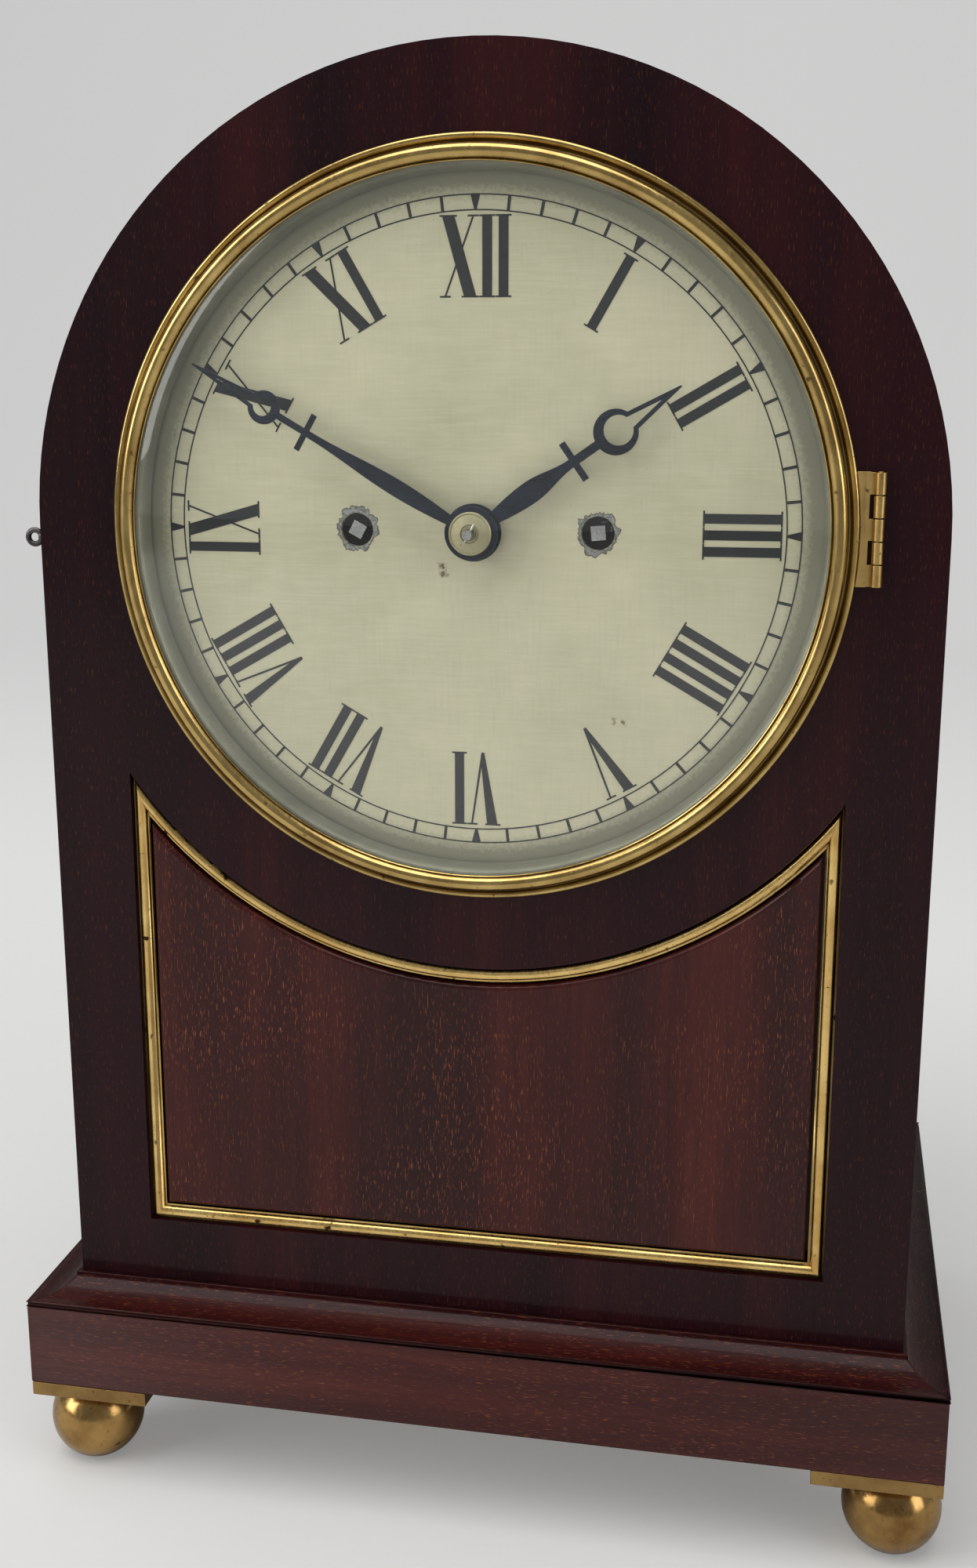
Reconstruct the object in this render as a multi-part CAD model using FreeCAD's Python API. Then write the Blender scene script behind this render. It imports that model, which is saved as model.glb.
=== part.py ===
import FreeCAD, Part
import math
import os

# Arch-top bracket clock. Millimetres, +X to the viewer's right, +Y away from the viewer, +Z up.
# The origin is on the floor, below the middle of the plinth.

V = FreeCAD.Vector
os.makedirs("parts", exist_ok=True)

# ---- case -------------------------------------------------------------------------------
case_half_width = 125.0
case_depth = 160.0
front_board_thick = 14.0
side_thick = 10.0
plinth_overhang_x = 12.5
plinth_overhang_y = 14.0
ball_radius = 14.5
ball_flat_radius = 5.0
ball_neck_radius = 6.0
ball_neck_height = 1.7
foot_stud_radius = 3.0
foot_stud_reach = 10.0
foot_plate_size = 37.0
foot_plate_thick = 4.4
plinth_height = 26.0
plinth_board_thick = 14.0
base_board_thick = 12.0
corner_block_size = 26.0
moulding_height = 6.2
moulding_inner_lap = 4.0
moulding_fillet = 1.4
arch_centre_above_case = 230.8
stud_clearance = 0.1

# ---- dial and bezel ---------------------------------------------------------------------
dial_radius = 95.0
skirt_beyond_dial = 2.6
aperture_clearance = 0.9
bezel_flange_lap = 3.5
bezel_lip_lap = 3.1
bezel_skirt_wall = 1.1
bezel_skirt_depth = 3.5
bezel_bead_width = 2.0
bezel_bead_height = 2.3
bezel_shoulder = 1.3
bezel_torus_height = 6.5
bezel_torus_start = 4.0
bezel_lip_height = 5.4
glass_edge_front = 4.4
glass_thick = 2.0
glass_sphere_radius = 590.0
glass_fit = 0.2
glass_rebate_room = 0.4
sight_dial_lap = 2.4
sight_wall = 0.8
dial_thick = 1.6
dial_depth_behind_front = 4.5
ink_thick = 0.12
winding_spacing = 33.3
winding_hole_radius = 4.5
numeral_height = 20.8
numeral_track_gap = 1.4
track_rim_gap = 7.7
track_width = 3.9
track_line = 0.35
minute_bar_width = 0.8
five_minute_width = 2.5

# ---- bezel hinge and catch --------------------------------------------------------------
hinge_beyond_bezel = 4.5
hinge_axis_out = 2.5
hinge_height = 29.5
hinge_above_centre = 2.5
hinge_knuckle_radius = 1.5
hinge_pin_radius = 0.7
hinge_knuckle_gap = 0.3
hinge_leaf_thick = 1.2
hinge_leaf_reach = 7.0
hinge_window = 1.9
pin_clearance = 0.05
mortise_clearance = 0.1
catch_below_centre = 4.0
catch_behind_front = 9.0
catch_wire_radius = 1.2
catch_reach_out = 8.0
catch_lug_gap = 0.4
catch_lug_depth = 9.5
catch_lug_width = 8.0
catch_lug_inset = 0.8
catch_eye_radius = 2.0
catch_eye_wire = 0.8

# ---- sunk front panel -------------------------------------------------------------------
panel_half_width = 101.6
panel_bottom_below_centre = 211.4
panel_arc_radius = 123.7
panel_recess_depth = 6.0
panel_moulding_width = 4.5
panel_moulding_shoulder = 3.6
panel_moulding_height = 5.2
panel_moulding_riser = 0.3
panel_moulding_fillet = 0.6
panel_gap = 0.8
panel_field_height = 5.0
panel_edge_round = 1.6

# ---- rear door --------------------------------------------------------------------------
door_thick = 12.0
door_gap = 1.0
door_stile = 22.0
door_rebate = 4.0
door_glass_thick = 2.0
door_glass_from_back = 7.0
door_glass_clearance = 0.4
door_hinge_height = 32.0
door_hinge_rise_low = 55.0
door_hinge_rise_high = 185.0
door_hinge_radius = 1.6
door_hinge_pin_radius = 0.8
door_hinge_leaf_thick = 1.2
door_hinge_leaf_width = 9.0
door_hinge_leaf_clear = 1.8
latch_inset = 9.0
latch_rise = 120.0
latch_knob_radius = 7.0
latch_knob_reach = 9.0
latch_neck_radius = 3.5
latch_neck_length = 3.0
latch_spindle_radius = 2.5
latch_tongue_length = 14.0
latch_tongue_width = 6.0
latch_tongue_thick = 1.7
latch_clearance = 0.3
latch_slot_depth = 6.5

# ---- movement ---------------------------------------------------------------------------
front_plate_behind_dial = 15.9
plate_thick = 3.0
plate_spacing = 55.0
plate_half_width = 68.0
plate_bottom_drop = 86.0
plate_top_rise = 74.0
pillar_radius = 4.0
pillar_collar_radius = 5.5
pillar_collar_length = 4.0
dial_foot_radius = 2.5
dial_foot_offset = 56.0
seat_thick = 12.0
seat_back_margin = 5.0
cleat_size = 12.0
pivot_radius = 0.6
arbor_radius = 0.9
centre_arbor_radius = 1.3
centre_pivot_radius = 1.0
running_clearance = 0.05

# Wheels: tooth counts and modules. The centre distances follow from them.
great_teeth = 96
great_leaves = 8
centre_teeth = 84
centre_leaves = 7
centre_module = 0.55
third_teeth = 78
third_leaves = 7
third_module = 0.5
escape_teeth = 30
escape_radius = 15.0
escape_root_radius = 12.0
stud_radius = 0.7
stud_boss_radius = 2.4
motion_teeth = 36
motion_module = 0.6
hour_teeth = 84
hour_leaves = 7
pin_wheel_teeth = 64
pin_wheel_leaves = 8
pin_wheel_module = 0.5
pallet_wheel_teeth = 70
pallet_wheel_leaves = 7
pallet_wheel_module = 0.45
warning_teeth = 60
warning_leaves = 7
warning_module = 0.45
great_wheel_thick = 3.0
great_wheel_from_front = 5.0
strike_wheel_gap = 0.8
fusee_wheel_gap = 0.2
heavy_wheel_thick = 2.0
light_wheel_thick = 1.5
pinion_overlap = 0.5
centre_wheel_from_back = 10.0
third_wheel_from_back = 4.5
escape_wheel_from_back = 14.0
escape_wheel_thick = 1.2
pin_wheel_from_back = 11.0
pallet_wheel_from_back = 7.0
warning_wheel_from_back = 16.0
fly_before_warning = 4.0
cannon_before_plate = 4.0
hour_wheel_before_plate = 8.0
rim_width = 2.6
spoke_width = 2.2
hub_radius = 3.6

# Directions, in degrees from +X towards +Z, in which each arbor lies from the one that drives it.
third_direction = 70.0
pin_wheel_direction = 79.1
pallet_wheel_direction = 67.1
warning_direction = 168.7
fly_direction = 233.3

fusee_large_radius = 22.0
fusee_small_radius = 12.0
fusee_length = 32.0
winding_square = 3.9
winding_square_recess = 0.6
winding_arbor_radius = 2.2
left_square_turn = 28.0
right_square_turn = -5.0
barrel_radius = 24.0
barrel_wall = 1.6
barrel_length = 36.0
barrel_x = 40.0
barrel_drop = 56.5
barrel_arbor_radius = 3.0
ratchet_teeth = 24
ratchet_radius = 9.0
ratchet_thick = 2.0
gut_radius = 0.8
gut_gap = 0.4
fly_radius = 10.0
fly_length = 26.0
fly_vane_thick = 0.6
pin_circle_radius = 11.5
pin_count = 8
pallet_rise = 21.0
pallet_swing_room = 1.8
pallet_pad = 1.2
pallet_heel = 1.6
pallet_hub_rise = 3.0
pallet_hub_drop = 2.5
pallet_hub_half_top = 4.0
pallet_hub_half_low = 6.0
crutch_behind_plate = 3.0
crutch_thick = 2.0
crutch_half = 1.2
fork_half_height = 1.5
hanger_half = 3.5
hanger_half_thick = 1.5
hanger_height = 4.0
crutch_length = 40.8
crutch_fork_gap = 0.35
pendulum_length = 200.0
pendulum_behind_plate = 11.0
pendulum_rod_radius = 1.2
bob_radius = 23.0
bob_half_thick = 6.0
nut_radius = 4.5
nut_thick = 4.5
cock_half_width = 12.0
bell_radius = 40.0
bell_headroom = 5.0
bell_wall = 2.0
bell_flare_in = 3.0
bell_flare_rise = 6.0
bell_shoulder_drop = 7.0
bell_crown_beyond_post = 3.0
bell_post_tenon = 1.4
bell_post_cap = 2.0
bell_mouth_rise = 80.0
bell_post_radius = 4.0
bell_bridge_thick = 3.0
hammer_arbor_x = -60.0
hammer_arbor_rise = 14.0
hammer_head_x = -32.0
hammer_head_rise = 84.0
hammer_head_radius = 5.0
hammer_head_length = 9.0
hammer_arm_width = 4.0
hammer_arm_thick = 2.4
hammer_behind_plate = 3.2
hammer_hub_radius = 4.0
hammer_stud_radius = 1.5
hammer_head_overhang = 2.0

# ---- hands ------------------------------------------------------------------------------
hand_thick = 0.8
hour_hand_out = 3.5
minute_hand_out = 6.2
arbor_tip_out = 12.5
cannon_radius = 2.9
hour_pipe_radius = 4.2
collet_radius = 5.8
collet_height = 2.4
taper_pin_radius = 0.45
taper_pin_length = 11.0
hand_neck_share = 0.2
hand_root_share = 1.8
ring_hole_offset_share = 0.14
spear_root_share = 0.43
spear_opening_share = 0.27
spear_opening_rise_share = 0.62
spear_solid_share = 0.28
spear_tip_half = 0.35
hour_tip = 67.3
hour_ring_at = 46.6
hour_ring_outer = 6.0
hour_ring_inner = 3.95
hour_bar_at = 33.2
hour_bar_length = 11.6
hour_bar_width = 1.8
hour_leaf_at = 18.0
hour_leaf_width = 6.0
hour_boss = 15.5
hour_hand_turn = 55.0
minute_tip = 88.7
minute_ring_at = 65.7
minute_ring_outer = 4.5
minute_ring_inner = 2.6
minute_bar_at = 52.5
minute_bar_length = 10.6
minute_bar_thick = 1.6
minute_leaf_at = 22.0
minute_leaf_width = 4.6
minute_boss = 14.5
minute_hand_turn = -60.0

# ---- places worked out from the sizes above ----------------------------------------------
ball_centre_z = math.sqrt(ball_radius ** 2 - ball_flat_radius ** 2)
ball_top = ball_centre_z + math.sqrt(ball_radius ** 2 - ball_neck_radius ** 2)
plate_bottom = ball_top + ball_neck_height
plinth_bottom = plate_bottom + foot_plate_thick
plinth_top = plinth_bottom + plinth_height
case_bottom = plinth_top + moulding_height
dial_z = case_bottom + arch_centre_above_case
front_y = -case_depth / 2
back_y = case_depth / 2
board_back_y = front_y + front_board_thick
plinth_half_x = case_half_width + plinth_overhang_x
plinth_half_y = case_depth / 2 + plinth_overhang_y
inner_half = case_half_width - side_thick
bezel_skirt_radius = dial_radius + skirt_beyond_dial
bezel_lip_radius = bezel_skirt_radius - bezel_lip_lap
aperture_radius = bezel_skirt_radius + aperture_clearance
bezel_outer_radius = aperture_radius + bezel_flange_lap
sight_inner_radius = dial_radius - sight_dial_lap
track_outer_radius = dial_radius - track_rim_gap
track_inner_radius = track_outer_radius - track_width
numeral_foot_radius = track_inner_radius - numeral_track_gap - numeral_height
hinge_axis_x = bezel_outer_radius + hinge_beyond_bezel
dial_face_y = front_y + dial_depth_behind_front
dial_back_y = dial_face_y + dial_thick
plate_front_y = dial_back_y + front_plate_behind_dial
train_front_y = plate_front_y + plate_thick
train_back_y = train_front_y + plate_spacing
plate_back_y = train_back_y + plate_thick
seat_top = dial_z - plate_bottom_drop
hinge_axis_y = front_y - hinge_axis_out
great_module = 2 * winding_spacing / (great_teeth + great_leaves)
hour_module = 2 * motion_teeth * motion_module / (hour_teeth + hour_leaves)


# ---- helpers ----------------------------------------------------------------------------
def save(name, shapes):
    shape = shapes[0] if len(shapes) == 1 else Part.makeCompound(shapes)
    shape.exportStep("parts/" + name + ".step")


def box(x0, x1, y0, y1, z0, z1):
    return Part.makeBox(x1 - x0, y1 - y0, z1 - z0, V(x0, y0, z0))


def rod(x, z, radius, y0, y1):
    """Cylinder along the clock's depth."""
    return Part.makeCylinder(radius, y1 - y0, V(x, y0, z), V(0, 1, 0))


def tube(x, z, outer, inner, y0, y1):
    return rod(x, z, outer, y0, y1).cut(rod(x, z, inner, y0 - 1, y1 + 1))


def plate(points, y0, y1):
    """Flat piece of the outline points (x, z), from y0 to y1."""
    corners = [V(x, y0, z) for x, z in points]
    face = Part.Face(Part.makePolygon(corners + corners[:1]))
    return face.extrude(V(0, y1 - y0, 0))


def outline(start, steps, place):
    """Closed wire of lines and arcs: a step is an end point, or a mid point and an end point."""
    edges = []
    at = start
    for step in steps + [start]:
        if isinstance(step[0], tuple):
            edges.append(Part.Arc(place(at), place(step[0]), place(step[1])).toShape())
            at = step[1]
        else:
            edges.append(Part.LineSegment(place(at), place(step)).toShape())
            at = step
    return Part.Wire(edges)


def turned(x, z, start, steps):
    """Solid turned about the depth axis through (x, z) from an outline of (radius, y)."""
    wire = outline(start, steps, lambda p: V(x + p[0], p[1], z))
    return Part.Face(wire).revolve(V(x, 0, z), V(0, 1, 0), 360)


def turned_up(x, y, start, steps):
    """Solid turned about the upright axis through (x, y) from an outline of (radius, z)."""
    wire = outline(start, steps, lambda p: V(x + p[0], y, p[1]))
    return Part.Face(wire).revolve(V(x, y, 0), V(0, 0, 1), 360)


def arch(half, bottom, y0, y1):
    """Round-topped board of the given half width, concentric with the dial."""
    steps = [(half, bottom), (half, dial_z), ((0.0, dial_z + half), (-half, dial_z))]
    wire = outline((-half, bottom), steps, lambda p: V(p[0], y0, p[1]))
    return Part.Face(wire).extrude(V(0, y1 - y0, 0))


def mirrored_x(shape):
    return shape.mirror(V(0, 0, 0), V(1, 0, 0))


def four_corners(shape):
    """The shape in the right front corner, and its copies in the other three."""
    back = shape.mirror(V(0, 0, 0), V(0, 1, 0))
    return [shape, mirrored_x(shape), back, mirrored_x(back)]


def joined(shapes):
    first = shapes[0].fuse(shapes[1:])
    return first.removeSplitter()


def polar(x, z, radius, degrees):
    """Point at a distance and a direction, in degrees from +X towards +Z."""
    angle = math.radians(degrees)
    return (x + radius * math.cos(angle), z + radius * math.sin(angle))


# ---- feet and plinth --------------------------------------------------------------------
foot_x = plinth_half_x - foot_plate_size / 2
foot_y = plinth_half_y - foot_plate_size / 2
stud_top = plinth_bottom + foot_stud_reach


def ball_foot():
    neck = ball_neck_radius
    steps = [(ball_flat_radius, 0.0),
             ((ball_radius, ball_centre_z), (neck, ball_top)),
             (neck, plate_bottom),
             (foot_stud_radius, plate_bottom),
             (foot_stud_radius, stud_top),
             (0.0, stud_top)]
    return turned_up(foot_x, -foot_y, (0.0, 0.0), steps)


stud_hole = Part.makeCylinder(foot_stud_radius + stud_clearance, stud_top + 1, V(foot_x, -foot_y, 0))
foot_plate = box(plinth_half_x - foot_plate_size, plinth_half_x, -plinth_half_y,
                 foot_plate_size - plinth_half_y, plate_bottom, plinth_bottom).cut(stud_hole)
board_in_x = plinth_half_x - plinth_board_thick
board_in_y = plinth_half_y - plinth_board_thick
block_top = plinth_top - base_board_thick
corner_block = box(board_in_x - corner_block_size, board_in_x, -board_in_y,
                   corner_block_size - board_in_y, plinth_bottom, block_top).cut(stud_hole)
save("ball_feet", four_corners(ball_foot()))
save("foot_plates", four_corners(foot_plate))
save("base_board", [box(-board_in_x, board_in_x, -board_in_y, board_in_y, block_top, plinth_top)])


def plan_wedge(points, z0, z1):
    corners = [V(x, y, z0) for x, y in points]
    return Part.Face(Part.makePolygon(corners + corners[:1])).extrude(V(0, 0, z1 - z0))


def mitred_frame(front_bar, side_bar, z0, z1):
    """Front, back and side bars cut to mitres where they meet at the plinth's corners."""
    reach = min(plinth_half_x, plinth_half_y) - 1
    x1, y1 = plinth_half_x, plinth_half_y
    front_area = plan_wedge([(-x1, -y1), (x1, -y1), (x1 - reach, reach - y1), (reach - x1, reach - y1)], z0, z1)
    side_area = plan_wedge([(x1, -y1), (x1, y1), (x1 - reach, y1 - reach), (x1 - reach, reach - y1)], z0, z1)
    front = front_bar.common(front_area)
    side = side_bar.common(side_area)
    return [front, front.mirror(V(0, 0, 0), V(0, 1, 0)), side, mirrored_x(side)]


front_bar = box(-plinth_half_x, plinth_half_x, -plinth_half_y, -board_in_y, plinth_bottom, plinth_top)
side_bar = box(board_in_x, plinth_half_x, -plinth_half_y, plinth_half_y, plinth_bottom, plinth_top)
cut_studs = four_corners(stud_hole)
frame_boards = mitred_frame(front_bar, side_bar, plinth_bottom, plinth_top)
save("plinth_frame", [board.cut(cut_studs) for board in frame_boards])


def moulding_section(outer, case_face, inner, place):
    """Fillet, cove and top bead of the plinth moulding, from its outer edge in to under the case."""
    cove_low = plinth_top + moulding_fillet
    cove_high = case_bottom - moulding_fillet
    mid = (case_face + (outer - case_face) * 0.3, plinth_top + moulding_height * 0.45)
    ledge = case_face + moulding_fillet
    steps = [(outer, cove_low), (mid, (ledge, cove_high)), (ledge, case_bottom), (inner, case_bottom),
             (inner, plinth_top)]
    return outline((outer, plinth_top), steps, place)


rail_in_x = inner_half - moulding_inner_lap
rail_in_y = case_depth / 2 - front_board_thick
long_x = 2 * plinth_half_x
long_y = 2 * plinth_half_y
front_wire = moulding_section(plinth_half_y, case_depth / 2, rail_in_y, lambda p: V(-plinth_half_x, -p[0], p[1]))
side_wire = moulding_section(plinth_half_x, case_half_width, rail_in_x, lambda p: V(p[0], -plinth_half_y, p[1]))
front_rail = Part.Face(front_wire).extrude(V(long_x, 0, 0))
side_rail = Part.Face(side_wire).extrude(V(0, long_y, 0))
x_slope = plinth_overhang_x / plinth_overhang_y
mitre_run = plinth_half_y - 1


def moulding_mitres(front, side, z0, z1):
    """Lengths cut on the line through the plinth's corner and the case's corner."""
    x1, y1 = plinth_half_x, plinth_half_y
    end = (x1 - mitre_run * x_slope, mitre_run - y1)
    front_area = plan_wedge([(-x1, -y1), (x1, -y1), end, (-end[0], end[1])], z0, z1)
    side_area = plan_wedge([(x1, -y1), (x1, y1), (end[0], -end[1]), end], z0, z1)
    front_piece = front.common(front_area)
    side_piece = side.common(side_area)
    return [front_piece, front_piece.mirror(V(0, 0, 0), V(0, 1, 0)), side_piece, mirrored_x(side_piece)]


save("plinth_moulding", moulding_mitres(front_rail, side_rail, plinth_top, case_bottom))


# ---- case shell -------------------------------------------------------------------------
def panel_corner(inset):
    """Tip of the panel's outline, drawn in from its edges by inset."""
    x = panel_half_width - inset
    return (x, dial_z - math.sqrt((panel_arc_radius + inset) ** 2 - x ** 2))


def panel_shape(inset, y0, y1):
    bottom = dial_z - panel_bottom_below_centre + inset
    x, tip = panel_corner(inset)
    middle = (0.0, dial_z - panel_arc_radius - inset)
    wire = outline((-x, bottom), [(x, bottom), (x, tip), (middle, (-x, tip))], lambda p: V(p[0], y0, p[1]))
    return Part.Face(wire).extrude(V(0, y1 - y0, 0))


recess_floor_y = front_y + panel_recess_depth
hinge_z = dial_z + hinge_above_centre
catch_y = front_y + catch_behind_front
catch_z = dial_z - catch_below_centre
leaf_half = hinge_leaf_thick / 2
leaf_depth_y = front_y + hinge_leaf_reach
mortise = box(hinge_axis_x - leaf_half - mortise_clearance, hinge_axis_x + leaf_half + mortise_clearance,
              front_y - 1, leaf_depth_y + mortise_clearance,
              hinge_z - hinge_height / 2 - mortise_clearance, hinge_z + hinge_height / 2 + mortise_clearance)
catch_bore = Part.makeCylinder(catch_wire_radius + running_clearance * 2, case_half_width,
                               V(-case_half_width - 1, catch_y, catch_z), V(1, 0, 0))
catch_bore = catch_bore.common(box(-case_half_width - 1, 0, front_y, board_back_y, case_bottom, dial_z))
front_board = arch(case_half_width, case_bottom, front_y, board_back_y)
front_board = front_board.cut(rod(0, dial_z, aperture_radius, front_y - 1, board_back_y + 1))
front_board = front_board.cut(panel_shape(0.0, front_y - 1, recess_floor_y))
front_board = front_board.cut(mortise)
front_board = front_board.cut(catch_bore)
save("front_board", [front_board])

latch_x = inner_half - latch_inset
latch_z = case_bottom + latch_rise
door_front_y = back_y - door_thick
tongue_back_y = door_front_y - latch_clearance
tongue_front_y = tongue_back_y - latch_tongue_thick
side_board = box(inner_half, case_half_width, board_back_y, back_y, case_bottom, dial_z)
slot_low = latch_z - latch_tongue_width / 2 - latch_clearance
tongue_sweep = math.hypot(latch_tongue_length, latch_tongue_width / 2) + latch_clearance
slot_high = latch_z + math.sqrt(tongue_sweep ** 2 - latch_inset ** 2)
latch_slot = box(inner_half - 1, inner_half + latch_slot_depth, tongue_front_y - latch_clearance,
                 door_front_y, slot_low, slot_high)
save("side_right", [side_board.cut(latch_slot)])
save("side_left", [mirrored_x(side_board)])

arch_half = rod(0, dial_z, case_half_width, board_back_y, back_y)
arch_half = arch_half.cut(rod(0, dial_z, inner_half, board_back_y - 1, back_y + 1))
above_centre = box(-case_half_width - 1, case_half_width + 1, board_back_y, back_y, dial_z,
                   dial_z + case_half_width + 1)
save("arch_top", [arch_half.common(above_centre)])


# ---- sunk panel and its brass moulding ---------------------------------------------------
def panel_bead(place):
    """Half-round bead on short risers between two square fillets, standing in the recess."""
    wide = panel_moulding_width
    low = panel_moulding_shoulder
    edge = panel_moulding_fillet
    spring = low + panel_moulding_riser
    steps = [(wide, 0.0), (wide, low), (wide - edge, low), (wide - edge, spring),
             ((wide / 2, panel_moulding_height), (edge, spring)), (edge, low), (0.0, low)]
    return Part.Face(outline((0.0, 0.0), steps, place))


def stretched(outer, inner):
    """The mitre line from an outer corner to an inner one, run past both ends."""
    dx = (inner[0] - outer[0]) * 0.4
    dz = (inner[1] - outer[1]) * 0.4
    return (outer[0] - dx, outer[1] - dz), (inner[0] + dx, inner[1] + dz)


def flipped(point):
    return (-point[0], point[1])


panel_bottom = dial_z - panel_bottom_below_centre
tip_out, tip_in = stretched(panel_corner(0.0), panel_corner(panel_moulding_width))
low_out, low_in = stretched((panel_half_width, panel_bottom),
                            (panel_half_width - panel_moulding_width, panel_bottom + panel_moulding_width))
y_high = front_y - 1
bottom_strip = panel_bead(lambda p: V(-panel_half_width - 1, recess_floor_y - p[1], panel_bottom + p[0]))
bottom_strip = bottom_strip.extrude(V(2 * panel_half_width + 2, 0, 0))
bottom_area = [flipped(low_out), low_out, low_in, flipped(low_in)]
bottom_strip = bottom_strip.common(plate(bottom_area, y_high, recess_floor_y))
side_strip = panel_bead(lambda p: V(panel_half_width - p[0], recess_floor_y - p[1], panel_bottom - 1))
side_strip = side_strip.extrude(V(0, 0, tip_out[1] - panel_bottom + 2))
side_strip = side_strip.common(plate([low_out, tip_out, tip_in, low_in], y_high, recess_floor_y))
top_strip = panel_bead(lambda p: V(0, recess_floor_y - p[1], dial_z - panel_arc_radius - p[0]))
arc_reach = math.degrees(math.asin(panel_half_width / panel_arc_radius)) + 5
top_strip.rotate(V(0, 0, dial_z), V(0, 1, 0), -arc_reach)
top_strip = top_strip.revolve(V(0, 0, dial_z), V(0, 1, 0), 2 * arc_reach)
arc_low = dial_z - panel_arc_radius - 2 * panel_moulding_width
arc_area = [tip_out, flipped(tip_out), flipped(tip_in), (-panel_half_width * 0.6, arc_low - 6),
            (panel_half_width * 0.6, arc_low - 6), tip_in]
top_strip = top_strip.common(plate(arc_area, y_high, recess_floor_y))
save("panel_moulding", [bottom_strip, side_strip, mirrored_x(side_strip), top_strip])

field = panel_shape(panel_moulding_width + panel_gap, recess_floor_y - panel_field_height, recess_floor_y)
field_y = recess_floor_y - panel_field_height
front_edges = [edge for edge in field.Edges if abs(edge.BoundBox.YMax - field_y) < 0.01]
save("front_panel", [field.makeFillet(panel_edge_round, front_edges)])


# ---- bezel ------------------------------------------------------------------------------
def out(proud):
    """Depth of a point that stands proud of the case front."""
    return front_y - proud


skirt_in = bezel_skirt_radius - bezel_skirt_wall
bead_mid = bezel_outer_radius - bezel_bead_width / 2
bead_in = bezel_outer_radius - bezel_bead_width
torus_out = bead_in - 1.1
torus_mid = (torus_out + bezel_lip_radius) / 2
rebate_out = glass_edge_front + glass_rebate_room
bezel = turned(0, dial_z, (bezel_outer_radius, out(0.0)), [
    (bezel_outer_radius, out(bezel_shoulder)),
    ((bead_mid, out(bezel_bead_height)), (bead_in, out(bezel_shoulder))),
    (torus_out + 0.4, out(bezel_shoulder)),
    (torus_out, out(bezel_torus_start)),
    ((torus_mid, out(bezel_torus_height)), (bezel_lip_radius, out(bezel_lip_height))),
    (bezel_lip_radius, out(rebate_out)),
    (skirt_in, out(rebate_out)),
    (skirt_in, out(-bezel_skirt_depth)),
    (bezel_skirt_radius, out(-bezel_skirt_depth)),
    (bezel_skirt_radius, out(0.0))])
save("bezel_ring", [bezel])
lug_front_y = out(-bezel_skirt_depth)
lug_back_y = front_y + catch_lug_depth
lug = tube(0, dial_z, bezel_skirt_radius, skirt_in - catch_lug_inset, lug_front_y, lug_back_y)
save("bezel_lug", [lug.common(box(-aperture_radius, 0, front_y, board_back_y, catch_z - catch_lug_width / 2,
                                  catch_z + catch_lug_width / 2))])

glass_radius = skirt_in - glass_fit
glass_sag = glass_sphere_radius - math.sqrt(glass_sphere_radius ** 2 - glass_radius ** 2)
glass_mid = glass_radius / 2
mid_sag = glass_sphere_radius - math.sqrt(glass_sphere_radius ** 2 - glass_mid ** 2)
glass_front = glass_edge_front + glass_sag
glass_back = glass_edge_front - glass_thick
save("bezel_glass", [turned(0, dial_z, (0.0, out(glass_front)), [
    ((glass_mid, out(glass_front - mid_sag)), (glass_radius, out(glass_edge_front))),
    (glass_radius, out(glass_back)),
    ((glass_mid, out(glass_front - glass_thick - mid_sag)), (0.0, out(glass_front - glass_thick)))])])

sight_flange = glass_back - glass_fit
sight_end = 0.1 - bezel_skirt_depth
save("sight_ring", [turned(0, dial_z, (glass_radius, out(sight_flange)), [
    (glass_radius, out(sight_flange - sight_wall)),
    (sight_inner_radius + 2.2, out(sight_flange - sight_wall)),
    (sight_inner_radius + sight_wall, out(sight_end)),
    (sight_inner_radius, out(sight_end)),
    (sight_inner_radius + 1.2, out(sight_flange))])])

# ---- bezel hinge: knuckles 1, 3 and 5 on the bezel, 2 and 4 on the case --------------------
knuckle_pitch = hinge_height / 5
hinge_low = hinge_z - hinge_height / 2


def knuckle(index, axis_x, axis_y, radius, hole, low, pitch):
    z0 = low + index * pitch + hinge_knuckle_gap / 2
    barrel = Part.makeCylinder(radius, pitch - hinge_knuckle_gap, V(axis_x, axis_y, z0))
    return barrel.cut(Part.makeCylinder(hole, pitch + 2, V(axis_x, axis_y, z0 - 1)))


def bezel_knuckle(index):
    return knuckle(index, hinge_axis_x, hinge_axis_y, hinge_knuckle_radius,
                   hinge_pin_radius + pin_clearance, hinge_low, knuckle_pitch)


pin_hole = Part.makeCylinder(hinge_pin_radius + pin_clearance, hinge_height + 2,
                             V(hinge_axis_x, hinge_axis_y, hinge_low - 1))
case_leaf = [box(hinge_axis_x - leaf_half, hinge_axis_x + leaf_half, front_y, leaf_depth_y,
                 hinge_low, hinge_low + hinge_height)]
for index in (1, 3):
    z0 = hinge_low + index * knuckle_pitch + hinge_knuckle_gap / 2
    z1 = z0 + knuckle_pitch - hinge_knuckle_gap
    case_leaf.append(bezel_knuckle(index))
    case_leaf.append(box(hinge_axis_x - leaf_half, hinge_axis_x + leaf_half, hinge_axis_y, front_y, z0, z1))
case_leaf = joined(case_leaf).cut(pin_hole)
hinge_pin = Part.makeCylinder(hinge_pin_radius, hinge_height, V(hinge_axis_x, hinge_axis_y, hinge_low))
save("case_hinge_leaf", [case_leaf, hinge_pin])

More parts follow.
